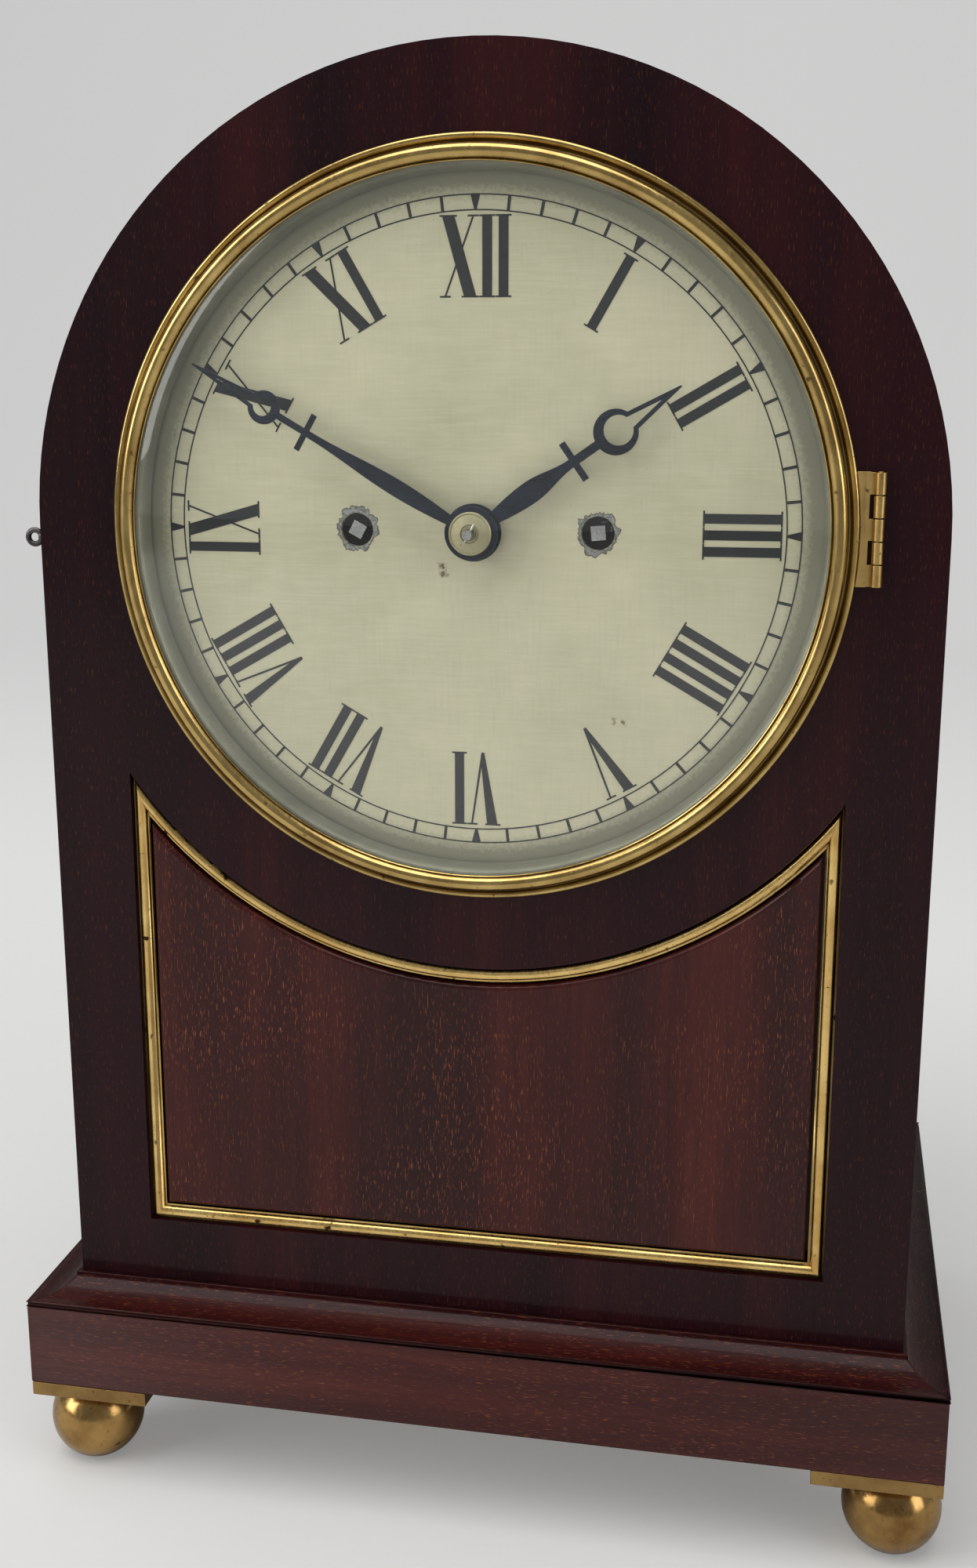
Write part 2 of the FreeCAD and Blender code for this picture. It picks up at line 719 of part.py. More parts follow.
leaf_y0 = out(hinge_leaf_thick + 0.5)
leaf_y1 = out(0.5)
window_x = hinge_axis_x - leaf_half - hinge_window
bezel_leaf = [box(bezel_outer_radius - 4, window_x, leaf_y0, leaf_y1, hinge_low, hinge_low + hinge_height)]
for index in (0, 2, 4):
    z0 = hinge_low + index * knuckle_pitch + hinge_knuckle_gap / 2
    z1 = z0 + knuckle_pitch - hinge_knuckle_gap
    bezel_leaf.append(bezel_knuckle(index))
    bezel_leaf.append(box(window_x, hinge_axis_x, leaf_y0, leaf_y1, z0, z1))
bezel_leaf = joined(bezel_leaf).cut(pin_hole)
save("bezel_hinge_leaf", [bezel_leaf.cut(rod(0, dial_z, bezel_outer_radius, front_y - 9, front_y))])

# ---- bezel catch: a pull wire with an eye, through the edge of the front board -------------
catch_nose_x = -bezel_skirt_radius - catch_lug_gap
catch_tail_x = -case_half_width - catch_reach_out
wire_end_x = catch_tail_x + catch_eye_radius
catch_wire = Part.makeCylinder(catch_wire_radius, catch_nose_x - wire_end_x,
                               V(wire_end_x, catch_y, catch_z), V(1, 0, 0))
eye = Part.makeTorus(catch_eye_radius, catch_eye_wire, V(wire_end_x, catch_y, catch_z), V(0, 1, 0))
eye_hole = rod(wire_end_x, catch_z, catch_eye_radius - catch_eye_wire / 2, catch_y - 4, catch_y + 4)
save("bezel_catch", [joined([catch_wire.cut(eye_hole), eye])])


# ---- dial -------------------------------------------------------------------------------
dial = rod(0, dial_z, dial_radius, dial_face_y, dial_back_y)
dial = dial.cut(rod(0, dial_z, hour_pipe_radius + 0.4, dial_face_y - 1, dial_back_y + 1))
for side in (-1, 1):
    dial = dial.cut(rod(side * winding_spacing, dial_z, winding_hole_radius, dial_face_y - 1, dial_back_y + 1))
save("dial_plate", [dial])
foot_z = dial_z + dial_foot_offset
dial_foot = rod(dial_foot_offset, foot_z, dial_foot_radius, dial_back_y, plate_front_y)
low_foot = rod(dial_foot_offset, dial_z - dial_foot_offset, dial_foot_radius, dial_back_y, plate_front_y)
save("dial_feet", [dial_foot, mirrored_x(dial_foot), low_foot, mirrored_x(low_foot)])

ink_y = dial_face_y - ink_thick
thick_stroke = 2.6
serif = 0.45
letter_gap = 0.15
letter_width = {"I": 4.35, "V": 9.6, "X": 10.6}


def serif_pair(left, right, top):
    z0 = numeral_height - serif if top else 0.0
    return [(left, z0), (right, z0), (right, z0 + serif), (left, z0 + serif)]


def letter(name):
    """One numeral letter, standing on z = 0 and centred on x = 0."""
    high = numeral_height
    half = letter_width[name] / 2 - letter_gap / 2
    if name == "I":
        stem = thick_stroke / 2
        shapes = [[(-stem, 0), (stem, 0), (stem, high), (-stem, high)],
                  serif_pair(-half, half, True), serif_pair(-half, half, False)]
    if name == "V":
        shapes = [[(-half + 0.8, high), (-half + 3.8, high), (0.7, high * 0.2), (half - 1.5, high),
                   (half - 1.0, high), (0.7, 0.0), (-0.1, 0.0)],
                  serif_pair(-half, -0.4, True), serif_pair(1.8, half, True)]
    if name == "X":
        wide = thick_stroke + 0.7
        shapes = [[(-half + 0.6, high), (-half + 0.6 + wide, high), (half - 0.6, 0), (half - 0.6 - wide, 0)],
                  [(half - 1.6, high), (half - 1.1, high), (1.6 - half, 0), (1.1 - half, 0)],
                  serif_pair(-half, -0.6, True), serif_pair(2.3, half, True),
                  serif_pair(-half, -2.3, False), serif_pair(0.6, half, False)]
    return joined([plate(points, ink_y, dial_face_y) for points in shapes])


letters = {name: letter(name) for name in letter_width}
numerals = []
for hour, word in enumerate(("XII", "I", "II", "III", "IIII", "V", "VI", "VII", "VIII", "IX", "X", "XI")):
    at = -sum(letter_width[name] for name in word) / 2
    for name in word:
        shape = letters[name].copy()
        shape.translate(V(at + letter_width[name] / 2, 0, dial_z + numeral_foot_radius))
        shape.rotate(V(0, 0, dial_z), V(0, 1, 0), 30 * hour)
        numerals.append(shape)
        at += letter_width[name]
save("dial_numerals", numerals)

track = [tube(0, dial_z, track_outer_radius, track_outer_radius - track_line, ink_y, dial_face_y),
         tube(0, dial_z, track_inner_radius, track_inner_radius - track_line, ink_y, dial_face_y)]
bar_top = dial_z + track_outer_radius - track_line
bar_low = dial_z + track_inner_radius
for minute in range(60):
    half = (five_minute_width if minute % 5 == 0 else minute_bar_width) / 2
    low_half = track_line if minute % 5 == 0 else half
    corners = [(-low_half, bar_low), (low_half, bar_low), (half, bar_top), (-half, bar_top)]
    mark = plate(corners, ink_y, dial_face_y)
    mark.rotate(V(0, 0, dial_z), V(0, 1, 0), 6 * minute)
    track.append(mark)
save("minute_track", track)


# ---- hands ------------------------------------------------------------------------------
def blade_side(root, root_at, widest, widest_at, neck, bar_at):
    """Edges of one side of a blade: it swells to its widest point, then tapers hollow to the neck."""
    shrink_at = (widest_at + bar_at) / 2
    shrink = 0.72 * widest
    hollow = 0.94 * (shrink + neck) / 2
    ends = [V(root, 0, root_at), V(shrink, 0, shrink_at), V(neck, 0, bar_at)]
    return [Part.Arc(ends[0], V(widest, 0, widest_at), ends[1]).toShape(),
            Part.Arc(ends[1], V(hollow, 0, (shrink_at + bar_at) / 2), ends[2]).toShape()]


def hand(tip, ring_at, ring_outer, ring_inner, bar_at, bar_length, bar_width, leaf_at, leaf_width,
         boss, bore, out_from_dial, turn):
    """Leaf blade, cross bar and a ring that opens into a long spear, cut from one sheet."""
    y1 = dial_face_y - out_from_dial
    y0 = y1 - hand_thick
    neck = ring_outer * hand_neck_share
    root = neck * hand_root_share
    root_at = boss * 0.4
    left = blade_side(-root, root_at, -leaf_width / 2, leaf_at, -neck, bar_at)
    right = blade_side(root, root_at, leaf_width / 2, leaf_at, neck, bar_at)
    across = [Part.makeLine(V(-root, 0, root_at), V(root, 0, root_at)),
              Part.makeLine(V(-neck, 0, bar_at), V(neck, 0, bar_at))]
    blade = Part.Face(Part.Wire(Part.__sortEdges__(left + right + across))).extrude(V(0, y1 - y0, 0))
    blade.translate(V(0, y0, dial_z))
    hole_at = ring_at + ring_outer * ring_hole_offset_share
    shoulder = ring_outer * spear_root_share
    rise = math.sqrt(ring_outer ** 2 - shoulder ** 2)
    open_at = ring_at + ring_outer * spear_opening_rise_share
    open_half = ring_outer * spear_opening_share
    open_tip = tip - (tip - ring_at) * spear_solid_share
    spear = [(-shoulder, ring_at + rise), (shoulder, ring_at + rise),
             (spear_tip_half, tip), (-spear_tip_half, tip)]
    inside = [(-open_half, open_at), (open_half, open_at), (0.0, open_tip)]
    flat = [blade,
            box(-neck, neck, y0, y1, dial_z + bar_at - bar_width / 2, dial_z + ring_at - ring_inner - 0.3),
            plate([(x, z + dial_z) for x, z in spear], y0, y1),
            box(-bar_length / 2, bar_length / 2, y0, y1, dial_z + bar_at - bar_width / 2,
                dial_z + bar_at + bar_width / 2),
            rod(0, dial_z + ring_at, ring_outer, y0, y1),
            rod(0, dial_z, boss / 2, y0, y1)]
    shape = joined(flat)
    shape = shape.cut(rod(0, dial_z + hole_at, ring_inner, y0 - 1, y1 + 1))
    shape = shape.cut(plate([(x, z + dial_z) for x, z in inside], y0 - 1, y1 + 1))
    shape = shape.cut(rod(0, dial_z, bore, y0 - 1, y1 + 1))
    shape.rotate(V(0, 0, dial_z), V(0, 1, 0), turn)
    return shape


seat_fit = 0.02
save("hour_hand", [hand(hour_tip, hour_ring_at, hour_ring_outer, hour_ring_inner, hour_bar_at,
                        hour_bar_length, hour_bar_width, hour_leaf_at, hour_leaf_width, hour_boss,
                        hour_pipe_radius + seat_fit, hour_hand_out, hour_hand_turn)])
save("minute_hand", [hand(minute_tip, minute_ring_at, minute_ring_outer, minute_ring_inner, minute_bar_at,
                          minute_bar_length, minute_bar_thick, minute_leaf_at, minute_leaf_width,
                          minute_boss, cannon_radius + seat_fit, minute_hand_out, minute_hand_turn)])
cannon_front_y = dial_face_y - minute_hand_out - hand_thick - 0.2
arbor_front_y = dial_face_y - arbor_tip_out
collet_mid = collet_radius * 0.72
collet_bore = centre_arbor_radius + seat_fit
collet = turned(0, dial_z, (collet_bore, cannon_front_y), [
    (collet_radius, cannon_front_y),
    ((collet_mid, cannon_front_y - collet_height * 0.72), (collet_bore, cannon_front_y - collet_height))])
pin_y = cannon_front_y - collet_height - taper_pin_radius


def cross_pin(radius):
    """Pin through the arbor, across the hands."""
    pin = Part.makeCylinder(radius, taper_pin_length, V(-taper_pin_length / 2, pin_y, dial_z), V(1, 0, 0))
    pin.rotate(V(0, 0, dial_z), V(0, 1, 0), minute_hand_turn / 2)
    return pin


save("hand_collet", [collet, cross_pin(taper_pin_radius)])


# ---- wheels -----------------------------------------------------------------------------
def toothed(x, z, teeth, module, y0, y1, tooth_at, leaves):
    """Toothed disc with one tooth pointing in the given direction. Pinion leaves are slimmer."""
    pitch_radius = teeth * module / 2
    pitch = 2 * math.pi / teeth
    tip, thick, foot = (0.13, 0.22, 0.18) if leaves else (0.20, 0.38, 0.42)
    tall = module * (0.5 if leaves else 0.85)
    deep = module * (1.3 if leaves else 1.2)
    flank = [(-deep, foot), (0.0, thick), (tall, tip)]
    profile = [(-1, *spot) for spot in flank] + [(1, *spot) for spot in reversed(flank)]
    points = []
    for index in range(teeth):
        centre = math.radians(tooth_at) + index * pitch
        for side, rise, share in profile:
            angle = centre + side * share * pitch / 2
            radius = pitch_radius + rise
            points.append((x + radius * math.cos(angle), z + radius * math.sin(angle)))
    return plate(points, y0, y1)


def crossed_out(shape, x, z, outer, y0, y1, spokes):
    """The wheel with the openings between its spokes cut away."""
    openings = tube(x, z, outer, hub_radius, y0 - 1, y1 + 1)
    for index in range(spokes):
        spoke = box(x, x + outer + 1, y0 - 2, y1 + 2, z - spoke_width / 2, z + spoke_width / 2)
        spoke.rotate(V(x, 0, z), V(0, 1, 0), index * 360 / spokes)
        openings = openings.cut(spoke)
    return shape.cut(openings)


def wheel(x, z, teeth, module, y0, y1, gap_at):
    """Crossed-out wheel with a gap between two teeth in the given direction."""
    shape = toothed(x, z, teeth, module, y0, y1, gap_at + 180 / teeth, False)
    inner = teeth * module / 2 - module * 1.2 - rim_width
    return crossed_out(shape, x, z, inner, y0, y1, 5)


def pinion(x, z, leaves, module, y0, y1, leaf_at):
    return toothed(x, z, leaves, module, y0, y1, leaf_at, True)


def arbor(x, z, y0, y1):
    """Arbor between the plates, with a thinner pivot through each plate."""
    body = rod(x, z, arbor_radius, train_front_y + 0.3, train_back_y - 0.3)
    return [body, rod(x, z, pivot_radius, y0, y1)]


centre = (0.0, dial_z)
going = (winding_spacing, dial_z)
striking = (-winding_spacing, dial_z)
third = polar(*centre, centre_module * (centre_teeth + centre_leaves) / 2, third_direction)
escape_reach = third_module * (third_teeth + third_leaves) / 2
escape_rise = math.sqrt(escape_reach ** 2 - third[0] ** 2)
escape = (0.0, third[1] + escape_rise)
escape_direction = math.degrees(math.atan2(escape_rise, -third[0]))
pin_wheel_at = polar(*striking, winding_spacing, pin_wheel_direction)
pallet_wheel_at = polar(*pin_wheel_at, pin_wheel_module * (pin_wheel_teeth + pin_wheel_leaves) / 2,
                        pallet_wheel_direction)
warning = polar(*pallet_wheel_at, pallet_wheel_module * (pallet_wheel_teeth + pallet_wheel_leaves) / 2,
                warning_direction)
fly_at = polar(*warning, warning_module * (warning_teeth + warning_leaves) / 2, fly_direction)
pallet_at = (escape[0], escape[1] + pallet_rise)
minute_wheel_at = (0.0, dial_z - motion_teeth * motion_module)
pivot_front = plate_front_y
pivot_back = plate_back_y
great_y0 = train_front_y + great_wheel_from_front
great_y1 = great_y0 + great_wheel_thick
strike_y0 = great_y1 + strike_wheel_gap
strike_y1 = strike_y0 + great_wheel_thick
cone_y0 = strike_y1 + fusee_wheel_gap
cone_y1 = cone_y0 + fusee_length - great_wheel_thick
square_tip_y = dial_face_y + winding_square_recess


def fusee(x, y0, y1, gap_at, turn):
    """Great wheel, hollow-sided cone for the line, and arbor with its winding square."""
    shape = toothed(x, dial_z, great_teeth, great_module, y0, y1, gap_at + 180 / great_teeth, False)
    middle = (fusee_large_radius + fusee_small_radius) / 2 - 1.0
    cone = turned(x, dial_z, (0.0, y1), [
        (fusee_large_radius, y1), ((middle, (y1 + cone_y1) / 2), (fusee_small_radius, cone_y1)), (0.0, cone_y1)])
    shaft = rod(x, dial_z, winding_arbor_radius, plate_front_y - 4, plate_back_y)
    half = winding_square / 2
    square = box(x - half, x + half, square_tip_y, plate_front_y - 3, dial_z - half, dial_z + half)
    square.rotate(V(x, 0, dial_z), V(0, 1, 0), turn)
    return joined([shape, cone, shaft, square])


def direction(start, end):
    return math.degrees(math.atan2(end[1] - start[1], end[0] - start[0]))


save("going_fusee", [fusee(winding_spacing, great_y0, great_y1, 180.0, right_square_turn)])
save("strike_fusee", [fusee(-winding_spacing, strike_y0, strike_y1, pin_wheel_direction, left_square_turn)])

centre_y0 = train_back_y - centre_wheel_from_back
centre_y1 = centre_y0 + heavy_wheel_thick
centre_wheel = joined([
    wheel(*centre, centre_teeth, centre_module, centre_y0, centre_y1, third_direction),
    pinion(*centre, great_leaves, great_module, great_y0 - pinion_overlap, great_y1 + 0.1, 0.0),
    rod(*centre, centre_arbor_radius, arbor_front_y, train_back_y - 0.3),
    rod(*centre, centre_pivot_radius, train_back_y - 1, pivot_back)])
save("centre_wheel", [centre_wheel.cut(cross_pin(taper_pin_radius + seat_fit))])
third_y0 = train_back_y - third_wheel_from_back
third_y1 = third_y0 + light_wheel_thick
save("third_wheel", [joined([
    wheel(*third, third_teeth, third_module, third_y0, third_y1, escape_direction),
    pinion(*third, centre_leaves, centre_module, centre_y0 - pinion_overlap, centre_y1 + pinion_overlap,
           third_direction + 180)]
    + arbor(*third, pivot_front, pivot_back))])


def escape_disc(x, z, y0, y1):
    points = []
    for index in range(escape_teeth):
        at = index * 360 / escape_teeth
        points.append(polar(x, z, escape_root_radius, at))
        points.append(polar(x, z, escape_radius, at + 1.0))
        points.append(polar(x, z, escape_radius, at + 2.2))
        points.append(polar(x, z, escape_root_radius, at + 5.5))
    disc = plate(points, y0, y1)
    return crossed_out(disc, x, z, escape_root_radius - rim_width, y0, y1, 4)


escape_y0 = train_back_y - escape_wheel_from_back
escape_y1 = escape_y0 + escape_wheel_thick
save("escape_wheel", [joined([
    escape_disc(*escape, escape_y0, escape_y1),
    pinion(*escape, third_leaves, third_module, third_y0 - pinion_overlap, third_y1 + pinion_overlap,
           escape_direction + 180)]
    + arbor(*escape, pivot_front, pivot_back))])

pin_y0 = train_back_y - pin_wheel_from_back
pin_y1 = pin_y0 + heavy_wheel_thick
pins = [polar(*pin_wheel_at, pin_circle_radius, index * 360 / pin_count) for index in range(pin_count)]
pin_rim = toothed(*pin_wheel_at, pin_wheel_teeth, pin_wheel_module, pin_y0, pin_y1,
                  pallet_wheel_direction + 180 / pin_wheel_teeth, False)
pin_rim = crossed_out(pin_rim, *pin_wheel_at, pin_circle_radius - 1.5, pin_y0, pin_y1, 4)
save("pin_wheel", [joined([
    pin_rim,
    pinion(*pin_wheel_at, great_leaves, great_module, strike_y0 - 0.3, strike_y1 + 0.3, pin_wheel_direction + 180)]
    + [rod(x, z, 0.5, pin_y0 - 2.5, pin_y0 + 0.5) for x, z in pins]
    + arbor(*pin_wheel_at, pivot_front, pivot_back))])
pallet_wheel_y0 = train_back_y - pallet_wheel_from_back
pallet_wheel_y1 = pallet_wheel_y0 + light_wheel_thick
save("pallet_wheel", [joined([
    wheel(*pallet_wheel_at, pallet_wheel_teeth, pallet_wheel_module, pallet_wheel_y0, pallet_wheel_y1,
          warning_direction),
    pinion(*pallet_wheel_at, pin_wheel_leaves, pin_wheel_module, pin_y0 - pinion_overlap,
           pin_y1 + pinion_overlap, pallet_wheel_direction + 180)]
    + arbor(*pallet_wheel_at, pivot_front, pivot_back))])
warning_y0 = train_back_y - warning_wheel_from_back
warning_y1 = warning_y0 + light_wheel_thick
save("warning_wheel", [joined([
    wheel(*warning, warning_teeth, warning_module, warning_y0, warning_y1, fly_direction),
    pinion(*warning, pallet_wheel_leaves, pallet_wheel_module, pallet_wheel_y0 - pinion_overlap,
           pallet_wheel_y1 + pinion_overlap, warning_direction + 180)]
    + arbor(*warning, pivot_front, pivot_back))])
fly_y1 = warning_y0 - fly_before_warning
save("fly", [joined([
    pinion(*fly_at, warning_leaves, warning_module, warning_y0 - pinion_overlap, warning_y1 + pinion_overlap,
           fly_direction + 180),
    box(fly_at[0] - fly_radius, fly_at[0] + fly_radius, fly_y1 - fly_length, fly_y1,
        fly_at[1] - fly_vane_thick / 2, fly_at[1] + fly_vane_thick / 2)]
    + arbor(*fly_at, pivot_front, pivot_back))])

# ---- motion work between the dial and the front plate --------------------------------------
cannon_y0 = plate_front_y - cannon_before_plate
cannon_y1 = cannon_y0 + light_wheel_thick
hour_y0 = plate_front_y - hour_wheel_before_plate
hour_y1 = hour_y0 + light_wheel_thick
hour_pipe_front_y = dial_face_y - hour_hand_out - hand_thick - 0.3
cannon_bore = centre_arbor_radius + seat_fit
pipe_bore = cannon_radius + running_clearance
motion_gap = 180 / motion_teeth
save("cannon_pinion", [joined([
    toothed(*centre, motion_teeth, motion_module, cannon_y0, cannon_y1, -90.0 + motion_gap, False),
    rod(*centre, cannon_radius, cannon_front_y, cannon_y0 + 3.0)]).cut(
    rod(*centre, cannon_bore, cannon_front_y - 1, cannon_y0 + 4.0))])
hour_wheel = joined([
    wheel(*centre, hour_teeth, hour_module, hour_y0, hour_y1, -90.0),
    tube(*centre, hub_radius + 2.4, pipe_bore, hour_y0, hour_y1),
    rod(*centre, hour_pipe_radius, hour_pipe_front_y, hour_y1)])
save("hour_wheel", [hour_wheel.cut(rod(*centre, pipe_bore, hour_pipe_front_y - 1, hour_y0 + 3.0))])
minute_wheel = joined([
    toothed(*minute_wheel_at, motion_teeth, motion_module, cannon_y0, cannon_y1, 90.0, False),
    pinion(*minute_wheel_at, hour_leaves, hour_module, hour_y0 - 0.3, hour_y1 + pinion_overlap, 90.0),
    rod(*minute_wheel_at, stud_boss_radius, hour_y1 + pinion_overlap, cannon_y0)])
minute_wheel = minute_wheel.cut(rod(*minute_wheel_at, stud_radius + running_clearance, hour_y0 - 2, cannon_y0 + 3))
save("minute_wheel", [minute_wheel])


# ---- plates, pillars and bell --------------------------------------------------------------
low_pillar = (60.0, dial_z - 80.0)
high_pillar = (58.0, dial_z + 66.0)
barrel_z = dial_z - barrel_drop
pivots = [third, escape, pin_wheel_at, pallet_wheel_at, warning, fly_at, pallet_at]


def movement_plate(y0, y1, centre_hole):
    shape = box(-plate_half_width, plate_half_width, y0, y1, seat_top, dial_z + plate_top_rise)
    holes = [rod(x, z, pivot_radius + running_clearance, y0 - 1, y1 + 1) for x, z in pivots]
    holes.append(rod(*centre, centre_hole, y0 - 1, y1 + 1))
    for side in (-1, 1):
        holes.append(rod(side * winding_spacing, dial_z, winding_arbor_radius + running_clearance, y0 - 1, y1 + 1))
        holes.append(rod(side * barrel_x, barrel_z, barrel_arbor_radius, y0 - 1, y1 + 1))
    return shape.cut(holes)


minute_stud = rod(*minute_wheel_at, stud_radius, hour_y0 - 1.0, plate_front_y)
minute_stud = minute_stud.fuse(rod(*minute_wheel_at, stud_boss_radius, cannon_y1 + 0.1, plate_front_y))
front_plate = movement_plate(plate_front_y, train_front_y, centre_arbor_radius + running_clearance)
save("front_plate", [joined([front_plate, minute_stud])])
save("back_plate", [movement_plate(train_back_y, plate_back_y, centre_pivot_radius + running_clearance)])


def pillar(x, z):
    collar = pillar_collar_length
    steps = [(pillar_collar_radius, train_front_y), (pillar_collar_radius, train_front_y + collar),
             (pillar_radius, train_front_y + collar), (pillar_radius, train_back_y - collar),
             (pillar_collar_radius, train_back_y - collar), (pillar_collar_radius, train_back_y),
             (0.0, train_back_y)]
    return turned(x, z, (0.0, train_front_y), steps)


save("plate_pillars", [pillar(*low_pillar), pillar(*flipped(low_pillar)),
                       pillar(*high_pillar), pillar(*flipped(high_pillar))])
save("seat_board", [box(-inner_half, inner_half, board_back_y, plate_back_y + seat_back_margin,
                        seat_top - seat_thick, seat_top)])
cleat = box(inner_half - cleat_size, inner_half, board_back_y, plate_back_y + seat_back_margin,
            seat_top - seat_thick - cleat_size, seat_top - seat_thick)
save("glue_blocks", four_corners(corner_block) + [cleat, mirrored_x(cleat)])

bridge_top = dial_z + plate_top_rise + bell_bridge_thick
bell_y = (plate_front_y + plate_back_y) / 2
bell_mouth = dial_z + bell_mouth_rise
bell_crown = dial_z + inner_half - bell_headroom
bell_under_crown = bell_crown - bell_wall
flare = (bell_radius - bell_flare_in, bell_mouth + bell_flare_rise)
shoulder = (bell_radius * 0.72, bell_crown - bell_shoulder_drop)
inner_shoulder = (shoulder[0] - bell_wall * 0.8, shoulder[1] - bell_wall * 0.8)
crown_radius = bell_post_radius + bell_crown_beyond_post
tenon_radius = bell_post_radius - bell_post_tenon
bell_wire = [(bell_radius, bell_mouth), flare, (shoulder, (crown_radius, bell_crown)),
             (tenon_radius, bell_crown), (tenon_radius, bell_under_crown), (crown_radius, bell_under_crown),
             (inner_shoulder, (flare[0] - bell_wall, flare[1]))]
save("bell", [turned_up(0, bell_y, (bell_radius - bell_wall, bell_mouth), bell_wire)])
post_steps = [(bell_post_radius, bridge_top), (bell_post_radius, bell_under_crown),
              (tenon_radius, bell_under_crown), (tenon_radius, bell_crown), (bell_post_radius, bell_crown),
              (bell_post_radius, bell_crown + bell_post_cap), (0.0, bell_crown + bell_post_cap)]
bridge = box(-6, 6, plate_front_y, plate_back_y, dial_z + plate_top_rise, bridge_top)
save("bell_stand", [joined([bridge, turned_up(0, bell_y, (0.0, bridge_top), post_steps)])])

# ---- barrels, gut lines and ratchets ---------------------------------------------------------
barrel_y0 = train_front_y + 7.0
barrel_y1 = barrel_y0 + barrel_length


def barrel(x):
    bore = barrel_arbor_radius + running_clearance
    hollow = tube(x, barrel_z, barrel_radius - barrel_wall, bore + barrel_wall, barrel_y0 + barrel_wall,
                  barrel_y1 - barrel_wall)
    return tube(x, barrel_z, barrel_radius, bore, barrel_y0, barrel_y1).cut(hollow)


def ratchet(x):
    """Barrel arbor held by the plates, with its ratchet wheel in front of the front plate."""
    points = []
    for index in range(ratchet_teeth):
        at = index * 360 / ratchet_teeth
        points.append(polar(x, barrel_z, ratchet_radius, at))
        points.append(polar(x, barrel_z, ratchet_radius - 1.4, at + 2.0))
    disc = plate(points, plate_front_y - ratchet_thick, plate_front_y)
    return joined([disc, rod(x, barrel_z, barrel_arbor_radius, plate_front_y - 3.5, plate_back_y)])


save("going_barrel", [barrel(barrel_x)])
save("strike_barrel", [barrel(-barrel_x)])
save("barrel_arbors", [ratchet(barrel_x), ratchet(-barrel_x)])

gut_y = (barrel_y0 + barrel_y1) / 2
barrel_lap = barrel_radius + gut_gap + gut_radius
fusee_lap = (fusee_large_radius + fusee_small_radius) / 2 + gut_gap + gut_radius
lean = direction((barrel_x, barrel_z), going)
gap_between = math.hypot(winding_spacing - barrel_x, barrel_drop)
tangent = lean - math.degrees(math.acos((barrel_lap - fusee_lap) / gap_between))


def gut_line():
    """Line laid half round the barrel, straight up its outer side and part round the fusee."""
    def spot(centre_x, centre_z, radius, at):
        x, z = polar(centre_x, centre_z, radius, at)
        return V(x, gut_y, z)
    low = [spot(barrel_x, barrel_z, barrel_lap, tangent - at) for at in (170, 85, 0)]
    high = [spot(winding_spacing, dial_z, fusee_lap, tangent + at) for at in (0, 60, 120)]
    edges = [Part.Arc(*low).toShape(), Part.LineSegment(low[2], high[0]).toShape(), Part.Arc(*high).toShape()]
    path = Part.Wire(edges)
    start = low[0]
    along = edges[0].tangentAt(edges[0].FirstParameter)
    ring = Part.Wire([Part.makeCircle(gut_radius, start, along)])
    return path.makePipeShell([ring], True, True)


line = gut_line()
save("gut_lines", [line, mirrored_x(line)])

# ---- pallets, pendulum and hammer ---------------------------------------------------------------
arm_tip = polar(*escape, escape_radius + pallet_swing_room, 45.0)
arm_out = (arm_tip[0] + pallet_heel, arm_tip[1] + pallet_hub_rise)
arm_in = (arm_tip[0] - pallet_pad, arm_tip[1])
hub_high = (pallet_hub_half_top, pallet_at[1] + pallet_hub_rise)
hub_low = (pallet_hub_half_low, pallet_at[1] - pallet_hub_drop)
anchor_points = [arm_in, arm_tip, arm_out, hub_high, flipped(hub_high), flipped(arm_out),
                 flipped(arm_tip), flipped(arm_in), flipped(hub_low), hub_low]
pendulum_y = plate_back_y + pendulum_behind_plate
crutch_y0 = plate_back_y + crutch_behind_plate
crutch_y1 = crutch_y0 + crutch_thick
fork_in = pendulum_rod_radius + crutch_fork_gap
fork_z = pallet_at[1] - crutch_length
fork_out = fork_in + crutch_half
fork_y1 = pendulum_y + pendulum_rod_radius + 1.0
fork_low = fork_z - fork_half_height
fork_high = fork_z + fork_half_height
crutch = [box(-crutch_half, crutch_half, crutch_y0, crutch_y1, fork_z, pallet_at[1]),
          box(-fork_out, fork_out, crutch_y0, crutch_y1, fork_low, fork_high),
          box(fork_in, fork_out, crutch_y0, fork_y1, fork_low, fork_high),
          box(-fork_out, -fork_in, crutch_y0, fork_y1, fork_low, fork_high)]
save("pallets", [joined([plate(anchor_points, escape_y0, escape_y1)]
                        + arbor(*pallet_at, pivot_front, crutch_y1) + crutch)])

bend_z = pallet_at[1]
rod_top = bend_z - 0.6
bob_z = bend_z - pendulum_length
rod_low = bob_z - bob_radius - nut_thick - 3.0
hanger = box(-hanger_half, hanger_half, pendulum_y - hanger_half_thick, pendulum_y + hanger_half_thick,
             rod_top - hanger_height, rod_top)
pendulum_rod = Part.makeCylinder(pendulum_rod_radius, rod_top - 2 - rod_low, V(0, pendulum_y, rod_low))
save("pendulum_rod", [joined([hanger, pendulum_rod])])
rod_hole = Part.makeCylinder(pendulum_rod_radius + running_clearance, 4 * bob_radius,
                             V(0, pendulum_y, bob_z - 2 * bob_radius))
bob = turned(0, bob_z, (0.0, pendulum_y - bob_half_thick), [
    ((bob_radius * 0.6, pendulum_y - bob_half_thick * 0.72), (bob_radius, pendulum_y - 0.8)),
    (bob_radius, pendulum_y + 0.8),
    ((bob_radius * 0.6, pendulum_y + bob_half_thick * 0.72), (0.0, pendulum_y + bob_half_thick))])
save("pendulum_bob", [bob.cut(rod_hole)])
nut_top = bob_z - bob_radius - 0.1
nut = Part.makeCylinder(nut_radius, nut_thick, V(0, pendulum_y, nut_top - nut_thick))
save("rating_nut", [nut.cut(rod_hole)])
